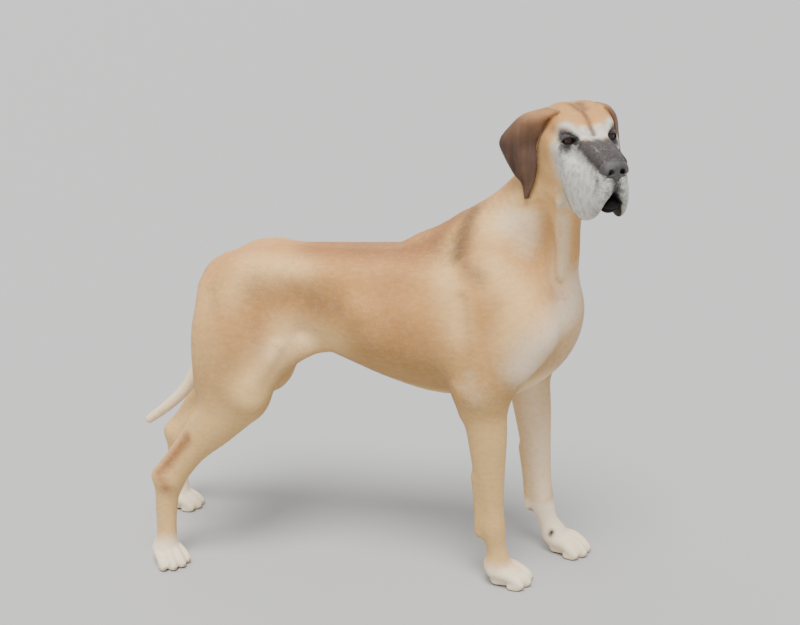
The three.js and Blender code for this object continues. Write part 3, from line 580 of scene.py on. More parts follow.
def eye_places(side, x, y, z):
    centre, *axes = eye_axes(side)
    x, y, z = x - centre[0], y - centre[1], z - centre[2]
    return [x * axis[0] + y * axis[1] + z * axis[2] for axis in axes]


def almond(across, up):
    lower = np.hypot(across, up - OPENING_SET) - OPENING_BOW
    upper = np.hypot(across + 1.5, up + OPENING_SET) - OPENING_BOW
    return np.maximum(lower, upper)


for side in (LEFT, RIGHT):
    centre = eye_axes(side)[0]
    part = body.window(centre - SOCKET_REACH, centre + SOCKET_REACH)
    ahead, across, up = eye_places(side, *body.places(part))
    from_centre = np.sqrt(ahead**2 + across**2 + up**2)
    field = smooth_min(body.field[part], from_centre - (EYE_RADIUS + LID_OVER), LID_BLEND)
    front = np.clip(ahead / 6, 0, 1)
    fold = np.hypot(across, up + FOLD_BELOW) - FOLD_BOW
    field += FOLD_DEPTH * np.exp(-((fold / FOLD_WIDTH) ** 2)) * front * np.clip(up / 6, 0, 1)
    bag = np.hypot(across, up - BAG_ABOVE) - BAG_BOW
    field += BAG_DEPTH * np.exp(-((bag / BAG_WIDTH) ** 2)) * front * np.clip(-up / 6, 0, 1)
    field = -smooth_min(-field, np.maximum(almond(across, up), -ahead), LID_EDGE)
    body.field[part] = np.maximum(field, EYE_RADIUS + BALL_ROOM - from_centre)

# The ears: thin hanging flaps of the same hide, folded over where they leave the skull. Each is a sheet
# between its front and rear edges, from root to tip, cupped outwards and lightly rippled.
EAR_EDGES = {
    RIGHT: (
        [(-48, 46, 42), (-60, 62, 30), (-68, 73, 8), (-76, 82, -26),
         (-68, 82, -53), (-68, 83, -76), (-73, 87, -100), (-79, 97, -127)],
        [(-104, 52, 34), (-112, 91, 24), (-118, 115, 4), (-122, 136, -24),
         (-122, 129, -53), (-114, 114, -85), (-95, 101, -102), (-82, 98, -128)],
    ),
    LEFT: (
        [(-50, 44, 42), (-60, 57, 34), (-70, 70, 6), (-76, 76, -22),
         (-82, 80, -48), (-86, 84, -70), (-92, 90, -92), (-98, 94, -120)],
        [(-106, 50, 34), (-116, 62, 24), (-132, 78, -2), (-142, 82, -30),
         (-142, 85, -56), (-132, 91, -80), (-116, 96, -98), (-102, 95, -121)],
    ),
}
EAR_CUP, EAR_RIPPLE = 11, 2.0
EAR_HALF = 3.0  # half the flap's thickness
EAR_SOFT = 9.0  # how far its root melts into the skull
EAR_REACH = 9.0
EAR_ROOT_DOWN, EAR_ROOT_RUN = 34, 24  # above the head's middle, the flap still grows from the skull
EAR_CREASE, EAR_CREASE_WIDTH = 2.6, 3.0
EAR_ROWS, EAR_COLUMNS = 60, 24


def ear_sheet(side):
    front, rear = (smooth_rows(edge, EAR_ROWS // 5) for edge in EAR_EDGES[side])
    t = np.linspace(-1, 1, EAR_COLUMNS)
    across = rear - front
    length = np.linalg.norm(across, axis=1)
    outward = np.stack([across[:, 1], -across[:, 0], 0 * length], 1)
    outward /= np.linalg.norm(outward, axis=1)[:, None]
    s = np.linspace(0, 1, len(front))
    cup = EAR_CUP * np.minimum(length / 60, 1) * np.minimum(0.3 + 3 * s, 1)
    points = front[:, None] + across[:, None] * ((1 - t) / 2)[None, :, None]
    ripple = EAR_RIPPLE * np.sin(2.4 * math.pi * t)[None] * np.clip((s - 0.25) * 2, 0, 1)[:, None]
    points = points + outward[:, None] * (cup[:, None] * (1 - t * t)[None] + ripple)[..., None]
    points[..., 1] *= side
    return points @ HEAD_AXES.T + HEAD_AT


ear_trees = {}
for side in (LEFT, RIGHT):
    points = ear_sheet(side)
    rows, columns = points.shape[:2]
    faces = [(i * columns + j, (i + 1) * columns + j, (i + 1) * columns + j + 1, i * columns + j + 1)
             for i in range(rows - 1) for j in range(columns - 1)]
    flat = points.reshape(-1, 3)
    tree = BVHTree.FromPolygons([tuple(p) for p in flat], faces)
    ear_trees[side] = (tree, rows, columns)
    part = body.window(flat.min(0) - EAR_REACH, flat.max(0) + EAR_REACH)
    xs, ys, zs = (axis[p].tolist() for axis, p in zip(body.axes, part))
    own = np.full((len(xs), len(ys), len(zs)), FAR, np.float32)
    for i, x in enumerate(xs):
        for j, y in enumerate(ys):
            for k, z in enumerate(zs):
                hit = tree.find_nearest((x, y, z), EAR_REACH)
                if hit[0] is not None:
                    own[i, j, k] = hit[3] - EAR_HALF
    # The flap joins the skull at its root only, and hangs just clear of the cheek and neck below it.
    x, y, z = body.places(part)
    below = np.clip((HEAD_AT[2] + EAR_ROOT_DOWN - z) / EAR_ROOT_RUN, 0, 1)
    joined = smooth_min(body.field[part], own, EAR_SOFT)
    crease = EAR_CREASE * np.exp(-(((body.field[part] - own) / EAR_CREASE_WIDTH) ** 2))
    hung = np.minimum(body.field[part], own) + crease
    body.field[part] = joined + (hung - joined) * below

# The floor trims the pads flat, and the field becomes a mesh of even quads.
body.field = np.maximum(body.field, -body.axes[2][None, None, :])
skin_points, skin_quads = body.surface()
skin_points[:, 2] = np.maximum(skin_points[:, 2], 0.0)


def vertex_normals(points, quads):
    """The normal at every point, and the area of every quad."""
    across = np.cross(points[quads[:, 2]] - points[quads[:, 0]], points[quads[:, 3]] - points[quads[:, 1]])
    normals = np.zeros_like(points)
    for k in range(4):
        np.add.at(normals, quads[:, k], across)
    return normals / (np.linalg.norm(normals, axis=1)[:, None] + 1e-12), np.linalg.norm(across, axis=1) / 2


skin_normals, skin_areas = vertex_normals(skin_points, skin_quads)

# The markings, and the painted shade low on the body and in the groove of the neck's vein, worked out at any
# point of the hide: soft-edged bands along a few lines, each as strength, radius and line. Those of the trunk
# and legs are the same on both sides, because the photo shows one side.
HEAD_REAR, HEAD_LOW = (-118, -84), (790, 820)


def band(points, line, radius):
    line = np.array(line, float)
    nearest = np.full(len(points), 1e9)
    for a, b in zip(line, line[1:]):
        run = b - a
        t = np.clip((points - a) @ run / (run @ run), 0, 1)
        nearest = np.minimum(nearest, ((points - a - t[:, None] * run) ** 2).sum(1))
    return np.exp(-nearest / radius**2)


def most(*layers):
    return np.maximum.reduce(layers)


def bands(points, *rows):
    return most(*[strength * band(points, line, radius) for strength, radius, *line in rows])


def rise(value, low, high):
    t = np.clip((value - low) / (high - low), 0, 1)
    return t * t * (3 - 2 * t)


def in_head_axes(points):
    return (points - HEAD_AT) @ HEAD_AXES


def share_of_head(points):
    return rise(in_head_axes(points)[:, 0], *HEAD_REAR) * rise(points[:, 2], *HEAD_LOW)


def body_marks(points, place):
    """The pale, white, rusty and smoky hair of the neck, trunk, legs and tail, and painted shade on the lower
    body and in the groove of the neck's vein.
    """
    x, y, z = points.T
    tail_line = [row[:3] for row in TAIL[4:]]
    tail_part = np.minimum(bands(points, (1.5, 30, (-607, 0, 548), (-609, 0, 510), *tail_line)), 1)
    pale = most(
        0.52 * rise(-z, -450, -330),
        tail_part,
        0.8 * rise(-z + 0.1 * x, -470, -430) * rise(-np.abs(y), -80, -40),
        bands(
            place,
            (1, 50, (62, 58, 770), (108, 69, 793), (138, 73, 830), (150, 84, 860)),
            (0.9, 26, (186, 104, 836), (184, 76, 784), (180, 52, 723), (178, 46, 668)),
            (0.75, 34, (-35, 78, 723), (-40, 100, 690), (-20, 118, 640), (-5, 130, 570)),
            (0.75, 44, (60, 110, 700), (110, 105, 640), (100, 120, 560)),
            (0.65, 44, (-349, 91, 676), (-438, 100, 672), (-500, 100, 620)),
            (0.85, 44, (-286, 98, 520), (-371, 101, 540), (-400, 122, 500), (-450, 146, 410)),
            (0.6, 44, (-540, 90, 600), (-560, 90, 480)),
        ),
    )
    foot_line = np.where(x > -200, np.where(y > 0, 128, 46), np.where(y > 0, 110, 62))
    white = most(
        rise(foot_line - z, -22, 26),
        0.55 * tail_part,
        bands(points, (0.6, 38, (100, 66, 400), (120, 66, 250), (130, 60, 140))) * (y > 0),
        bands(
            place,
            (0.72, 44, (216, 30, 640), (206, 45, 600), (181, 95, 570), (149, 125, 540), (128, 124, 500)),
            (0.5, 34, (90, 70, 780), (116, 78, 800), (130, 82, 740)),
            (0.6, 15, (192, 100, 836), (190, 72, 784), (186, 46, 723), (184, 40, 668)),
            (0.8, 50, (190, 0, 640), (170, 0, 540), (120, 0, 450)),
            (0.16, 30, (16, 138, 462), (26, 142, 436)),
            (0.22, 40, (-340, 95, 530), (-398, 124, 498)),
        ),
    )
    heel = np.where(y > 0, HOCK[LEFT][0] - HOCK[RIGHT][0], 0)
    hind_place = np.stack([x - heel * (x < -560), np.abs(y), z], 1)
    # Rusty hair of the saddle, ribs, thigh and hocks, and painted shade along the groove of the neck's vein.
    rust_and_vein_shade = most(
        bands(hind_place, (1, 15, (-606, 138, 300), (-640, 138, 258), (-676, 142, 214), (-664, 148, 186))),
        bands(place, (0.3, 28, (-427, 133, 500), (-432, 125, 560))) * (z > 300),
        bands(points, (0.5, 15, (151, 72, 129), (158, 84, 140))),
        bands(
            place,
            (0.75, 46, (-330, 30, 704), (-212, 46, 703), (-105, 60, 711), (-70, 55, 726)),
            (0.75, 40, (-300, 0, 706), (-212, 0, 706), (-105, 0, 716), (-20, 0, 770)),
            (0.42, 56, (-144, 89, 680), (-137, 122, 600), (-120, 128, 560)),
            # This band follows the groove of the neck's vein: painted shade in the groove.
            (0.42, 17, (144, 74, 800), (158, 64, 764), (166, 54, 724), (172, 54, 670), (184, 64, 628)),
        ),
    )
    smoke = bands(
        place,
        (0.95, 24, (6, 30, 796), (0, 62, 765), (-11, 90, 716)),
        (0.55, 22, (-11, 90, 716), (10, 104, 690), (34, 110, 676)),
        (0.42, 46, (-430, 108, 634), (-350, 98, 620), (-285, 107, 624)),
        (0.62, 36, (-320, 103, 612), (-262, 112, 604)),
        (0.38, 36, (-262, 112, 604), (-222, 120, 570)),
        (0.3, 26, (-529, 109, 632), (-522, 118, 590)),
        (0.25, 34, (-201, 111, 520), (-90, 118, 480)),
        (0.35, 24, (-250, 30, 704), (-90, 45, 722)),
        (0.5, 30, (-80, 34, 728), (-20, 32, 766), (20, 26, 800)),
    )
    # The first mark is painted shade: the body grows darker towards the bottom, where less light reaches it.
    return {"underside_shade": rise(-z, -620, -430), "pale": pale, "white": white, "rust_and_vein_shade": rust_and_vein_shade, "smoke": smoke}


def face_marks(face):
    """The grey hairs of the cheeks, the pale arcs of the brows, the black mask and the furrow."""
    hx, _, hz = face.T
    grizzle = most(
        rise(-hz + 0.10 * hx, -8, 12) * rise(hx, -46, 2),
        bands(
            face,
            (0.9, 12, (40, 0, 8), (24, 8, 11), (14, 14, 19)),
            (1, 22, (-8, 42, -2), (14, 36, 0)),
            (0.9, 14, (34, 31, -10), (18, 41, -22), (0, 50, -30)),
        ),
    )
    brow = bands(
        face,
        (0.72, 7.5, (26, 22, 10), (12, 31, 21), (-2, 38, 28), (-16, 45, 24), (-26, 49, 13)),
        (0.40, 11, (28, 12, 10), (16, 16, 18)),
    )
    mask = bands(
        face,
        (0.8, 13, (40, 0, 12), (52, 0, 6)),
        (1, 28, (62, 0, 6), (90, 0, 2), (140, 0, -6)),
        (1, 19, (52, 20, 0), (84, 25, -3), (124, 23, -8)),
        (0.95, 13, (52, 22, -2), (36, 28, 0), (26, 33, -2), (14, 38, 4)),
        (0.85, 12.5, (22, 35, -5), (12, 43, -10), (0, 48, -13)),
        (1, 19, (-8, 43, 7), (10, 37, 7)),
        (0.8, 22, (136, 0, -44), (130, 0, -62)),
        (0.7, 10, (124, 22, -40), (120, 24, -62)),
    )
    furrow = bands(
        face,
        (0.8, 12, (-112, 6, 42), (-74, 5, 45), (-48, 3, 43)),
        (1, 6, (-48, 0, 42), (-20, 0, 36), (-6, 0, 31), (10, 0, 21), (22, 0, 13)),
    )
    return {"grizzle": grizzle, "brow": brow, "mask": mask, "furrow": furrow}


def bare_marks(points, face):
    """Black bare skin: the hem of the flews, the lower lip, a mole, the dewclaws and the soles."""
    hx, hy, hz = face.T
    low_row = np.array(FLEWS)[::-1]
    hem = np.interp(hx, low_row[:, 0], low_row[:, 2] - low_row[:, 4])
    inner = np.interp(hx, low_row[:, 0], low_row[:, 1])
    hem_edge = rise(hem + 5.5 - hz, 0, 5) * rise(7 - np.abs(hy - inner), 0, 4) * (hx > -10) * (hx < 132)
    inside = rise(inner - 4 + 7 * rise(hx, 50, 80) - hy, 0, 5) * rise(hem + 24 - hz, 0, 8)
    return most(
        hem_edge,
        rise(inner - 2 - hy, 0, 6) * rise(-60 - hz, 0, 8) * rise(hx, 50, 76),
        inside * rise(hx, 24, 50) * (hx < 132),
        bands(face, (1, 18, (124, 0, -84), (112, 10, -100), (90, 8, -106))),
        bands(
            points,
            (1, 3.2, (-318, -96, 543), (-317, -97, 543)),
            (1, 6, (104, 66, 97), (103, 67, 92)),
            (1, 6, (150, 50, 50), (154, 54, 56)),
            (1, 6, (22, -84, 108), (22, -84, 100)),
        ),
        rise(4 - points[:, 2], 0, 3),
    )


def lid_marks(points):
    """The black rings of the lids, and the dark patch at the inner corner of each eye."""
    ring, tear = np.zeros((2, len(points)))
    for side in (LEFT, RIGHT):
        near = np.abs(points - eye_axes(side)[0]).max(1) < 30
        ahead, across, up = eye_places(side, *points[near].T)
        ring[near] = rise(3.4 - almond(across, up), 0, 2.4) * (ahead > 4)
        tear[near] = np.exp(-(((across + 12) / 5) ** 2) - ((up + 5) / 5) ** 2) * (ahead > 0)
    return ring, tear


def ear_marks(points):
    """How far each point belongs to an ear, and to the ear's root."""
    hx, hy, hz = in_head_axes(points).T
    ear, ear_root = np.zeros((2, len(points)))
    for side in (LEFT, RIGHT):
        tree, rows, columns = ear_trees[side]
        for n in np.nonzero((hy * side > 42) & (hx < -30) & (hx > -165) & (hz < 75))[0]:
            hit = tree.find_nearest(points[n], 12.0)
            if hit[0] is not None:
                s = hit[2] // (columns - 1) / (rows - 1)
                over = min(max((EAR_HALF + 3.4 - hit[3]) / 2.4, 0), 1)
                ear[n] = max(ear[n], over * min(max((s - 0.03) / 0.22, 0), 1))
                ear_root[n] = max(ear_root[n], over * (1 - min(s / 0.45, 1)))
    return ear, ear_root


def coat_marks(points):
    place = points * 1.0
    place[:, 1] = np.abs(place[:, 1])
    face = in_head_axes(points)
    face[:, 1] = np.abs(face[:, 1])
    hx, _, hz = face.T
    in_head = share_of_head(points)
    marks = {name: values * (1 - in_head) for name, values in body_marks(points, place).items()}
    marks["pale"] += 0.55 * in_head * rise(-hz, -24, 40) * (1 - rise(hx, -36, 0))
    marks["orange"] = most(
        bands(face, (0.8, 26, (-20, 34, 30), (-60, 40, 34), (-90, 30, 40))),
        bands(face, (0.5, 22, (-50, 64, 10), (-55, 68, -40))),
        bands(place, (0.4, 26, (-426, 130, 480), (-436, 130, 560))),
    )
    marks.update({name: values * in_head for name, values in face_marks(face).items()})
    ring, tear = lid_marks(points)
    marks["mask"] = most(marks["mask"], tear)
    marks["dark"] = most(bare_marks(points, face), ring)
    marks["ear"], marks["ear_root"] = ear_marks(points)
    return marks


def put_marks(mesh, marks):
    for name, values in marks.items():
        mesh.attributes.new(name, "FLOAT", "POINT").data.foreach_set("value", values.astype(np.float32))


# The coat's colours: fawn with a rust saddle and smoky tips, pale beneath, white feet and chest, and a dark
# mask and ears gone grey with age. Painted shade darkens the lower body and the groove of the neck's vein.
# Each mark brings in its own colour, with an edge broken up by fine noise.
FAWN, FAWN_DEEP = (0.68, 0.345, 0.112), (0.56, 0.270, 0.080)
# Painted shade for the lower body: darker and a little yellower than the fawn, as it looks out of the light.
UNDERSIDE_SHADE = (0.42, 0.260, 0.096)
PALE, CREAM = (0.88, 0.575, 0.240), (0.80, 0.620, 0.370)
WHITE = (0.92, 0.760, 0.550)
# Rusty hair, and the same colour painted as shade into the groove of the neck's vein.
RUST_AND_VEIN_SHADE = (0.26, 0.088, 0.030)
SMOKE = (0.115, 0.056, 0.028)
ORANGE = (0.55, 0.275, 0.090)
GRIZZLE, GRIZZLE_DARK = (0.66, 0.65, 0.59), (0.27, 0.26, 0.25)
MASK, MASK_GREY = (0.040, 0.032, 0.032), (0.100, 0.089, 0.089)
EAR, EAR_DARK, EAR_TOP = (0.150, 0.082, 0.052), (0.070, 0.041, 0.030), (0.30, 0.140, 0.062)
FURROW = (0.085, 0.044, 0.034)
SKIN_DARK = (0.009, 0.0065, 0.0065)
DARK_LOCK, LIGHT_LOCK, LIGHT_TIP = (0.10, 0.06, 0.035), (0.95, 0.80, 0.58), (0.95, 0.76, 0.52)


def attribute(name):
    return Shade.node("ShaderNodeAttribute", {"attribute_name": name}, out=2)


def blended(amount, first, second):
    return Shade.node("ShaderNodeMix", {"data_type": "RGBA"}, out=2, i0=amount, i6=first, i7=second)


def noise(scale, detail, stretch=(1, 1, 1)):
    place = Shade.node("ShaderNodeTexCoord", out=3)
    mapped = Shade.node("ShaderNodeMapping", i0=place, i3=stretch)
    return Shade.node("ShaderNodeTexNoise", Vector=mapped, Scale=scale, Detail=detail, Roughness=0.5)


def feed(shader, socket, value):
    Shade.tree.links.new(value.socket, shader.inputs[socket])


def bump(height, strength, distance):
    return Shade.node("ShaderNodeBump", i0=strength, i1=distance, Height=height)


def coat_colour():
    coarse = noise(7.0, 3.0)
    fine = noise(90.0, 2.0)
    speck = noise(420.0, 1.0)
    ticking = (speck - 0.5) * 0.5 + (fine - 0.5) * 0.35

    def soft(name, low, high, grain=1.0):
        return (attribute(name) + ticking * grain).over(low, high)

    muzzle = blended((fine * 0.6 + speck * 0.4).over(0.45, 0.68) * 0.7, GRIZZLE, GRIZZLE_DARK)
    dark = blended((speck * 0.7 + coarse * 0.3).over(0.40, 0.66) * 0.8, MASK, MASK_GREY)
    ear = blended((coarse * 0.5 + noise(70.0, 2.0, (1, 1, 0.12)) * 0.5).over(0.40, 0.62), EAR, EAR_DARK)
    colour = FAWN
    for amount, tint in [
        (coarse.over(0.35, 0.7), FAWN_DEEP),
        # painted shade over the lower body
        (attribute("underside_shade") * 0.7, UNDERSIDE_SHADE),
        (attribute("pale") * 0.92, PALE),
        (soft("orange", 0.1, 1.0), ORANGE),
        # rusty hair, and painted shade along the neck's vein
        (soft("rust_and_vein_shade", 0.05, 1.15), RUST_AND_VEIN_SHADE),
        (soft("smoke", 0.05, 1.2), SMOKE),
        (soft("white", 0.05, 0.85, 0.6), WHITE),
        (attribute("grizzle").over(0.02, 0.4) * 0.8, CREAM),
        (soft("grizzle", 0.25, 0.85, 1.4), muzzle),
        (soft("mask", 0.16, 0.72, 1.3), dark),
        (soft("brow", 0.12, 0.9, 1.6), GRIZZLE),
        (soft("furrow", 0.1, 0.9) * 0.8, FURROW),
        (soft("ear", 0.2, 0.8), ear),
        (attribute("ear_root") * 0.8, EAR_TOP),
    ]:
        colour = blended(amount, colour, tint)
    clumps = noise(210.0, 3.0, (0.30, 1, 0.6))
    colour = blended(clumps.over(0.46, 0.70) * 0.15, colour, blended(0.55, colour, DARK_LOCK))
    light = (0.48 - clumps).over(0.0, 0.20) * (1.0 - attribute("mask")).clamped() * (1.0 - attribute("ear"))
    colour = blended(light * 0.12, colour, blended(0.5, colour, LIGHT_LOCK))
    return blended(attribute("dark"), colour, SKIN_DARK)


# The hide itself, seen between the hairs and at the lips, lids and pads, where it is bare and black. It takes
# the place of every solid of flesh but the eyes, nose and claws, and has the coat's colours under the hair.
HIDE_ROUGHNESS = 0.62
HAIR = {"Sheen_Weight": 0.05, "Sheen_Roughness": 0.4, "Specular_IOR_Level": 0.2}


def new_piece(name, points, faces, material, slot, smooth=True):
    """A joined mesh with its material, carried by the model. Its slot argument is not used."""
    mesh = bpy.data.meshes.new(name)
    mesh.from_pydata(to_model(points).tolist(), [], faces)
    if smooth:
        mesh.shade_smooth()
    mesh.materials.append(material)
    made = bpy.data.objects.new(name, mesh)
    bpy.context.collection.objects.link(made)
    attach(made, "root")
    return made


skin_material, skin_shader = new_material("hide", HIDE_ROUGHNESS, **HAIR)
feed(skin_shader, "Base Color", coat_colour())
feed(skin_shader, "Roughness", HIDE_ROUGHNESS + attribute("dark") * 0.12)
hair_grain = noise(900.0, 2.0, (0.25, 1, 0.6)) * 0.6 + noise(260.0, 2.0, (0.3, 1, 0.5)) * 0.4
feed(skin_shader, "Normal", bump(hair_grain, 0.35, 0.0012))
skin = new_piece("skin", skin_points, skin_quads.tolist(), skin_material, "body_coat")
skin_marks = coat_marks(skin_points)
put_marks(skin.data, skin_marks)
paired = [f"{kind}_{side}" for kind in ("ear", "foreleg", "hindleg", "forepaw", "hindpaw")
          for side in ("left", "right")]
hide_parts("head", "lower_jaw", "neck", "torso", "tail", *paired)

# The eyes: glass balls with a swollen clear cornea, set in the sockets of the hide. Behind the glass are a
# black pupil, a dark amber iris streaked from the pupil, and a brown white.
EYE_RINGS, EYE_SECTORS = 56, 96
CORNEA_RISE, EYE_PLAY = 0.9, 0.1
PUPIL_EDGE, IRIS_EDGE = 0.30, 0.80  # angles from the pupil's centre, in radians
PUPIL = (0.0015, 0.0012, 0.001)
AMBER, AMBER_DARK, AMBER_INNER = (0.060, 0.022, 0.008), (0.026, 0.010, 0.004), (0.070, 0.028, 0.010)
IRIS_RIM = (0.012, 0.005, 0.003)
EYE_WHITE_INNER, EYE_WHITE = (0.03, 0.016, 0.012), (0.14, 0.09, 0.07)
eye_points, eye_faces, eye_angle, eye_streak = [], [], [], []


def ring_faces(start, rings, sectors):
    faces = []
    for i in range(rings):
        for j in range(sectors):
            k = (j + 1) % sectors
            a, b = start + i * sectors, start + (i + 1) * sectors
            faces.append((a + j, a + k, b + k, b + j))
    return faces


for side in (LEFT, RIGHT):
    centre, gaze, out, up = eye_axes(side)
    eye_faces += [face[::-side] for face in ring_faces(len(eye_points), EYE_RINGS, EYE_SECTORS)]
    for i in range(EYE_RINGS + 1):
        angle = math.pi * i / EYE_RINGS
        reach = EYE_RADIUS + CORNEA_RISE * max(1 - (angle / IRIS_EDGE) ** 2, 0) - EYE_PLAY
        for j in range(EYE_SECTORS):
            turn = 2 * math.pi * j / EYE_SECTORS
            away = math.sin(angle) * (math.cos(turn) * out + math.sin(turn) * up)
            eye_points.append(centre + reach * (math.cos(angle) * gaze + away))
            eye_angle.append(angle)
            eye_streak.append(0.5 + 0.25 * math.sin(23 * turn + 1) + 0.25 * math.sin(37 * turn))
GLASS = {"Coat_Weight": 0.45, "Coat_Roughness": 0.03, "Specular_IOR_Level": 0.25}
eye_material, eye_shader = new_material("eye", 0.12, **GLASS)
angle, streak = attribute("angle"), attribute("streak")
iris = blended(streak * 0.7, AMBER, AMBER_DARK)
iris = blended(angle.over(0.34, 0.46), AMBER_INNER, iris)
iris = blended(angle.over(0.60, 0.78), iris, IRIS_RIM)
white = blended(angle.over(0.85, 1.15), EYE_WHITE_INNER, EYE_WHITE)
colour = blended(angle.over(PUPIL_EDGE, PUPIL_EDGE + 0.05), PUPIL, iris)
colour = blended(angle.over(IRIS_EDGE - 0.02, IRIS_EDGE + 0.05), colour, white)
feed(eye_shader, "Base Color", colour)
eyes = new_piece("eyes", np.array(eye_points), eye_faces, eye_material, "eyes")
put_marks(eyes.data, {"angle": np.array(eye_angle), "streak": np.array(eye_streak)})
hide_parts("eye_left", "eye_right")

# The nose pad: bare pebbled black skin that fills the end of the muzzle, where the hide stops short. Two
# comma nostrils run back and open to the sides, and a groove runs down the middle.
NOSE_STEP = 0.8
NOSE_BOX = ((104, 160), (-34, 34), (-50, 6))
NOSE_DARK, NOSE_WORN = (0.036, 0.032, 0.032), (0.090, 0.080, 0.078)
nose_block = Block(*[np.arange(low, high, NOSE_STEP, dtype=np.float32) for low, high in NOSE_BOX])
wing = [(126, 17, -22, 8, 11), (137, 15, -22, 9, 11)]
nostril = [(162, 7, -20, 4.6, 5.0), (146, 10, -21, 4.4, 4.8), (138, 14, -22, 4, 4.4)]
comma = [(151, 11, -25, 3, 2.6), (142, 19, -28, 2.6, 2.2), (132, 27, -28, 2.6, 1.8)]
groove = [(154, 0, -4, 0.9, 3.2), (156, 0, -20, 0.9, 4.2), (153, 0, -40, 1.0, 4.4)]
nose_forms = [
    Stroke([(122, 0, -19, 21, 14), (134, 0, -19, 21, 14)], blend=4),
    Stroke([(128, 0, -12, 22, 8), (138, 0, -13, 18, 8)], blend=8),
    Stroke([(136, 0, -24, 12, 14), (139, 0, -30, 9, 11)], blend=8),
    *sided(lambda side: [
        Stroke(on_side(side, wing), blend=7),
        Stroke(on_side(side, nostril), blend=3, cut=True),
        Stroke(on_side(side, comma), blend=3, cut=True),
    ]),
    Stroke(groove, blend=3, cut=True),
]
for stroke in nose_forms:
    nose_block.lay(stroke)
nose_points, nose_quads = nose_block.surface()
nose_material, nose_shader = new_material("nose", 0.36, Specular_IOR_Level=0.5)
pebbles = Shade.node("ShaderNodeTexVoronoi", {"feature": "DISTANCE_TO_EDGE"}, Scale=620.0,
                     Vector=Shade.node("ShaderNodeTexCoord", out=3))
wear = noise(60.0, 3.0)
feed(nose_shader, "Base Color", blended(wear.over(0.35, 0.7), NOSE_DARK, NOSE_WORN))
feed(nose_shader, "Roughness", 0.30 + wear * 0.25)
feed(nose_shader, "Normal", bump(pebbles.over(0.0, 0.35), 0.5, 0.0006))
nose = new_piece("nose_pad", nose_points @ HEAD_AXES.T + HEAD_AT, nose_quads.tolist(), nose_material, "nose")
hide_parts("nose")

# The claws: short thick horn, one growing out of the end of each toe and bent down towards the floor. They
# are pale at the root and darker at the tip.
CLAW_RINGS, CLAW_SECTORS, CLAW_LENGTH, CLAW_HALF = 14, 14, 21, 4.3
CLAW_AHEAD, CLAW_UP, CLAW_SPREAD = 45, 18, 0.004
HORN, HORN_TIP = (0.56, 0.48, 0.38), (0.30, 0.24, 0.18)
claw_points, claw_faces, claw_along, claw_names = [], [], [], []


def add_claw(base, place, scale, turn):
    axes, origin = base
    start = len(claw_points)
    at = np.array(place, float) * scale
    step = CLAW_LENGTH * scale / CLAW_RINGS
    for i in range(CLAW_RINGS + 1):
        t = i / CLAW_RINGS
        droop = math.radians(14 + 46 * t)
        level = math.cos(droop)
        ahead = np.array([level * math.cos(turn), level * math.sin(turn), -math.sin(droop)])
        over = np.array([-math.sin(turn), math.cos(turn), 0.0])
        upward = np.cross(ahead, over)
        half = CLAW_HALF * scale * max(1 - t**1.7, 0.02)
        for j in range(CLAW_SECTORS):
            angle = 2 * math.pi * j / CLAW_SECTORS
            point = at + half * (0.82 * math.cos(angle) * over + math.sin(angle) * upward)
            claw_points.append(axes @ point + origin)
            claw_along.append(t)
        at = at + ahead * step
    claw_faces.extend(ring_faces(start, CLAW_RINGS, CLAW_SECTORS))
    for a in (start, start + CLAW_RINGS * CLAW_SECTORS):
        claw_faces.append(tuple(range(a, a + CLAW_SECTORS))[::-1 if a == start else 1])


PAWS = [
    ("fore", FOREPAW, FOREPAW_TURN, FOREPAW_SCALE),
    ("hind", HINDPAW, HINDPAW_TURN, HINDPAW_SCALE),
]
for kind, places, turns, scale in PAWS:
    for side in (LEFT, RIGHT):
        for n, y in enumerate(TOES):
            place = (CLAW_AHEAD + toe_size(y)[0], y * 1.08, CLAW_UP)
            add_claw(paw_base(places, turns[side], side), place, scale, y * CLAW_SPREAD)
            claw_names.append(f"claw_{kind}_{'left' if side == LEFT else 'right'}_{n + 1}")
claw_material, claw_shader = new_material("claw", 0.35)
feed(claw_shader, "Base Color", blended(attribute("along").over(0.15, 0.7), HORN, HORN_TIP))
claws = new_piece("claws", np.array(claw_points), claw_faces, claw_material, "claws")
put_marks(claws.data, {"along": np.array(claw_along)})
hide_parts(*claw_names)

# The coat: short flat hair, in thousands of thin locks that root in the hide, follow its lie and overlap like
# thatch. It is finest on the head and longest on the trunk. A lock is four points and two triangles.
LOCK_LENGTH, LOCK_WIDTH, LOCK_LIFT, LOCK_SWAY = 9.0, 1.5, 0.13, 0.16
ROOT_DEPTH = 0.25
FLOOR_CLEAR = 3  # no lock roots lower than this, and none hangs lower than a tenth of it
rng = np.random.default_rng(7)
coat_material, coat_shader = new_material("coat", 0.6, **HAIR)
fleck = attribute("fleck")
colour = coat_colour()
light_tips = (1.0 - attribute("mask")).clamped() * (1.0 - attribute("ear"))
colour = blended(fleck.over(0.5, 1.0) * light_tips * 0.36, colour, blended(0.5, colour, LIGHT_TIP))
colour = blended((0.5 - fleck).over(0.0, 0.5) * 0.50, colour, blended(0.55, colour, DARK_LOCK))
feed(coat_shader, "Base Color", colour)


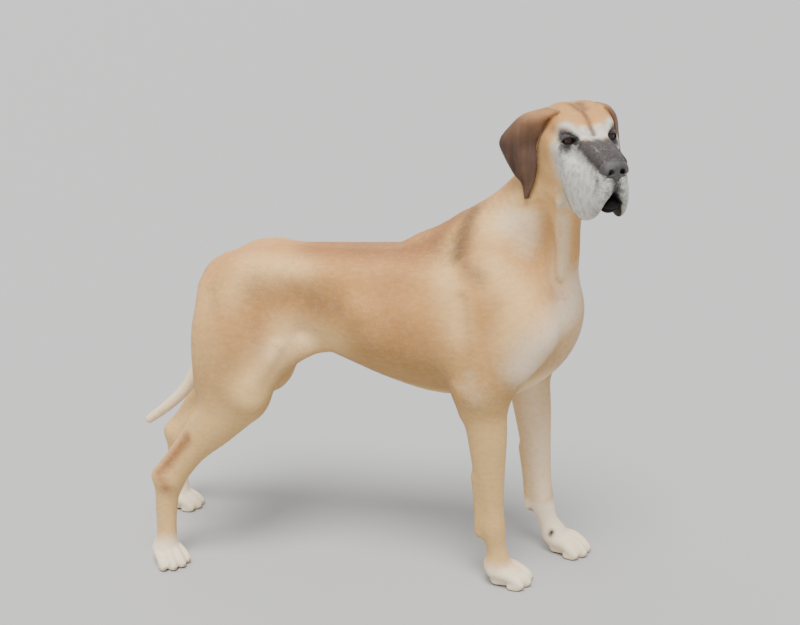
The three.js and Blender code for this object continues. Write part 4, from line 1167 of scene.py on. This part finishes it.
def lie_of_coat(points, normals):
    """Which way the hair points, as it lies on the hide."""
    x, _, z = points.T
    hx, hy, _ = in_head_axes(points).T
    in_head = share_of_head(points)[:, None]
    in_neck = (rise(x - 0.6 * (z - 720), 10, 70) * rise(z, 600, 700))[:, None]
    in_leg = (rise(-z, -500, -400) * (1 - rise(x, -330, -300) * rise(-x, 40, 70)))[:, None]
    in_ear = (((hx < -40) & (z > 790)) * rise(np.abs(hy), 66, 78))[:, None]
    way = np.tile([-1.0, 0.0, -0.42], (len(points), 1))
    way = mix(way, np.array([-0.5, 0.0, -0.87]), in_neck)
    way = mix(way, np.array([-0.25, 0.0, -1.0]), in_leg)
    way = mix(way, HEAD_AXES @ np.array([-0.95, 0.0, -0.25]), in_head)
    way = mix(way, HEAD_AXES @ np.array([-0.25, 0.0, -1.0]), in_ear)
    way = way - normals * (way * normals).sum(1)[:, None]
    return way / (np.linalg.norm(way, axis=1)[:, None] + 1e-9)


def coat_roots(chosen, count):
    """Places on the hide for the locks, picked by area, and the way out of the hide there."""
    weight = skin_areas * chosen * (bare < 0.35)
    picked = rng.choice(len(weight), count, p=weight / weight.sum())
    u, v = rng.random((2, count, 1))
    a, b, c, d = (corner[picked, k] for k in range(4))
    na, nb, nc, nd = (skin_normals[skin_quads[picked, k]] for k in range(4))
    root = mix(mix(a, b, u), mix(d, c, u), v)
    normal = mix(mix(na, nb, u), mix(nd, nc, u), v)
    normal /= np.linalg.norm(normal, axis=1)[:, None] + 1e-9
    keep = root[:, 2] > FLOOR_CLEAR
    return root[keep], normal[keep]


def coat_locks(root, normal, size):
    """Four corners for each lock: its back, one side of its middle, its tip and the other side."""
    count = len(root)
    lie = lie_of_coat(root, normal)
    lie = lie + np.cross(normal, lie) * rng.normal(0, LOCK_SWAY, (count, 1))
    beside = np.cross(normal, lie)
    near_face = rise(in_head_axes(root)[:, 0], -60, 20)[:, None] * (root[:, 2:] > 778)
    near_foot = rise(-root[:, 2:], -110, -40)
    short = 1 - 0.4 * np.maximum(near_face, near_foot)
    length = LOCK_LENGTH * size * short * rng.uniform(0.75, 1.2, (count, 1))
    half = LOCK_WIDTH / 2 * math.sqrt(size) * short * rng.uniform(0.8, 1.2, (count, 1))
    lift = LOCK_LIFT * rng.uniform(0.5, 1.3, (count, 1))
    back = root - normal * ROOT_DEPTH
    middle = root + lie * length * 0.4 + normal * length * lift * 0.55
    tip = root + lie * length + normal * length * lift * 0.95
    points = np.stack([back, middle - beside * half, tip, middle + beside * half], 1).reshape(-1, 3)
    points[:, 2] = np.maximum(points[:, 2], FLOOR_CLEAR / 10)
    return points


def unwrap_coat(mesh, root, triangles, around):
    """Each lock is a small patch of the picture, placed along the dog, or around it for the legs."""
    wide = (root[:, 0] + 840) / 1220
    high = root[:, 2] / 1060
    turned = (np.arctan2(root[:, 1], root[:, 0] - root[:, 0].mean()) + math.pi) / (2 * math.pi)
    place = np.stack([turned if around else wide, high], 1)[:, None]
    patch = place + np.array([[0, -0.0015], [-0.0015, 0], [0, 0.0015], [0.0015, 0]])
    layer = mesh.uv_layers.new(name="OFBake")
    layer.data.foreach_set("uv", patch.reshape(-1, 2)[triangles.reshape(-1)].astype(np.float32).reshape(-1))


corner = skin_points[skin_quads]
face_middle = corner.mean(1)
bare = skin_marks["dark"][skin_quads].mean(1)
middle_x, _, middle_z = face_middle.T
is_head = (in_head_axes(face_middle)[:, 0] > -165) & (middle_z > 778)
is_leg = (middle_z < 452) & ((middle_x < -380) | (middle_x > -60))
is_neck = ~is_head & ~is_leg & (middle_x > -70)
COATS = {
    "coat_head": (is_head, 90000, 0.55, "face_coat"),
    "coat_neck": (is_neck, 90000, 0.95, "body_coat"),
    "coat_trunk": (~is_head & ~is_leg & ~is_neck, 98000, 1.1, "body_coat"),
    "coat_legs": (is_leg, 90000, 0.75, "body_coat"),
}
for name, (chosen, count, size, slot) in COATS.items():
    count = count
    size = size
    root, normal = coat_roots(chosen, count)
    points = coat_locks(root, normal, size)
    first = np.arange(len(root))[:, None] * 4
    triangles = np.concatenate([first + [[0, 1, 2]], first + [[0, 2, 3]]], 1).reshape(-1, 3)
    coat = new_piece(name, points, triangles.tolist(), coat_material, slot, smooth=False)
    marks = {key: np.repeat(values, 4) for key, values in coat_marks(root).items()}
    marks["fleck"] = np.repeat(rng.random(len(root)), 4)
    put_marks(coat.data, marks)
    unwrap_coat(coat.data, root, triangles, name == "coat_legs")
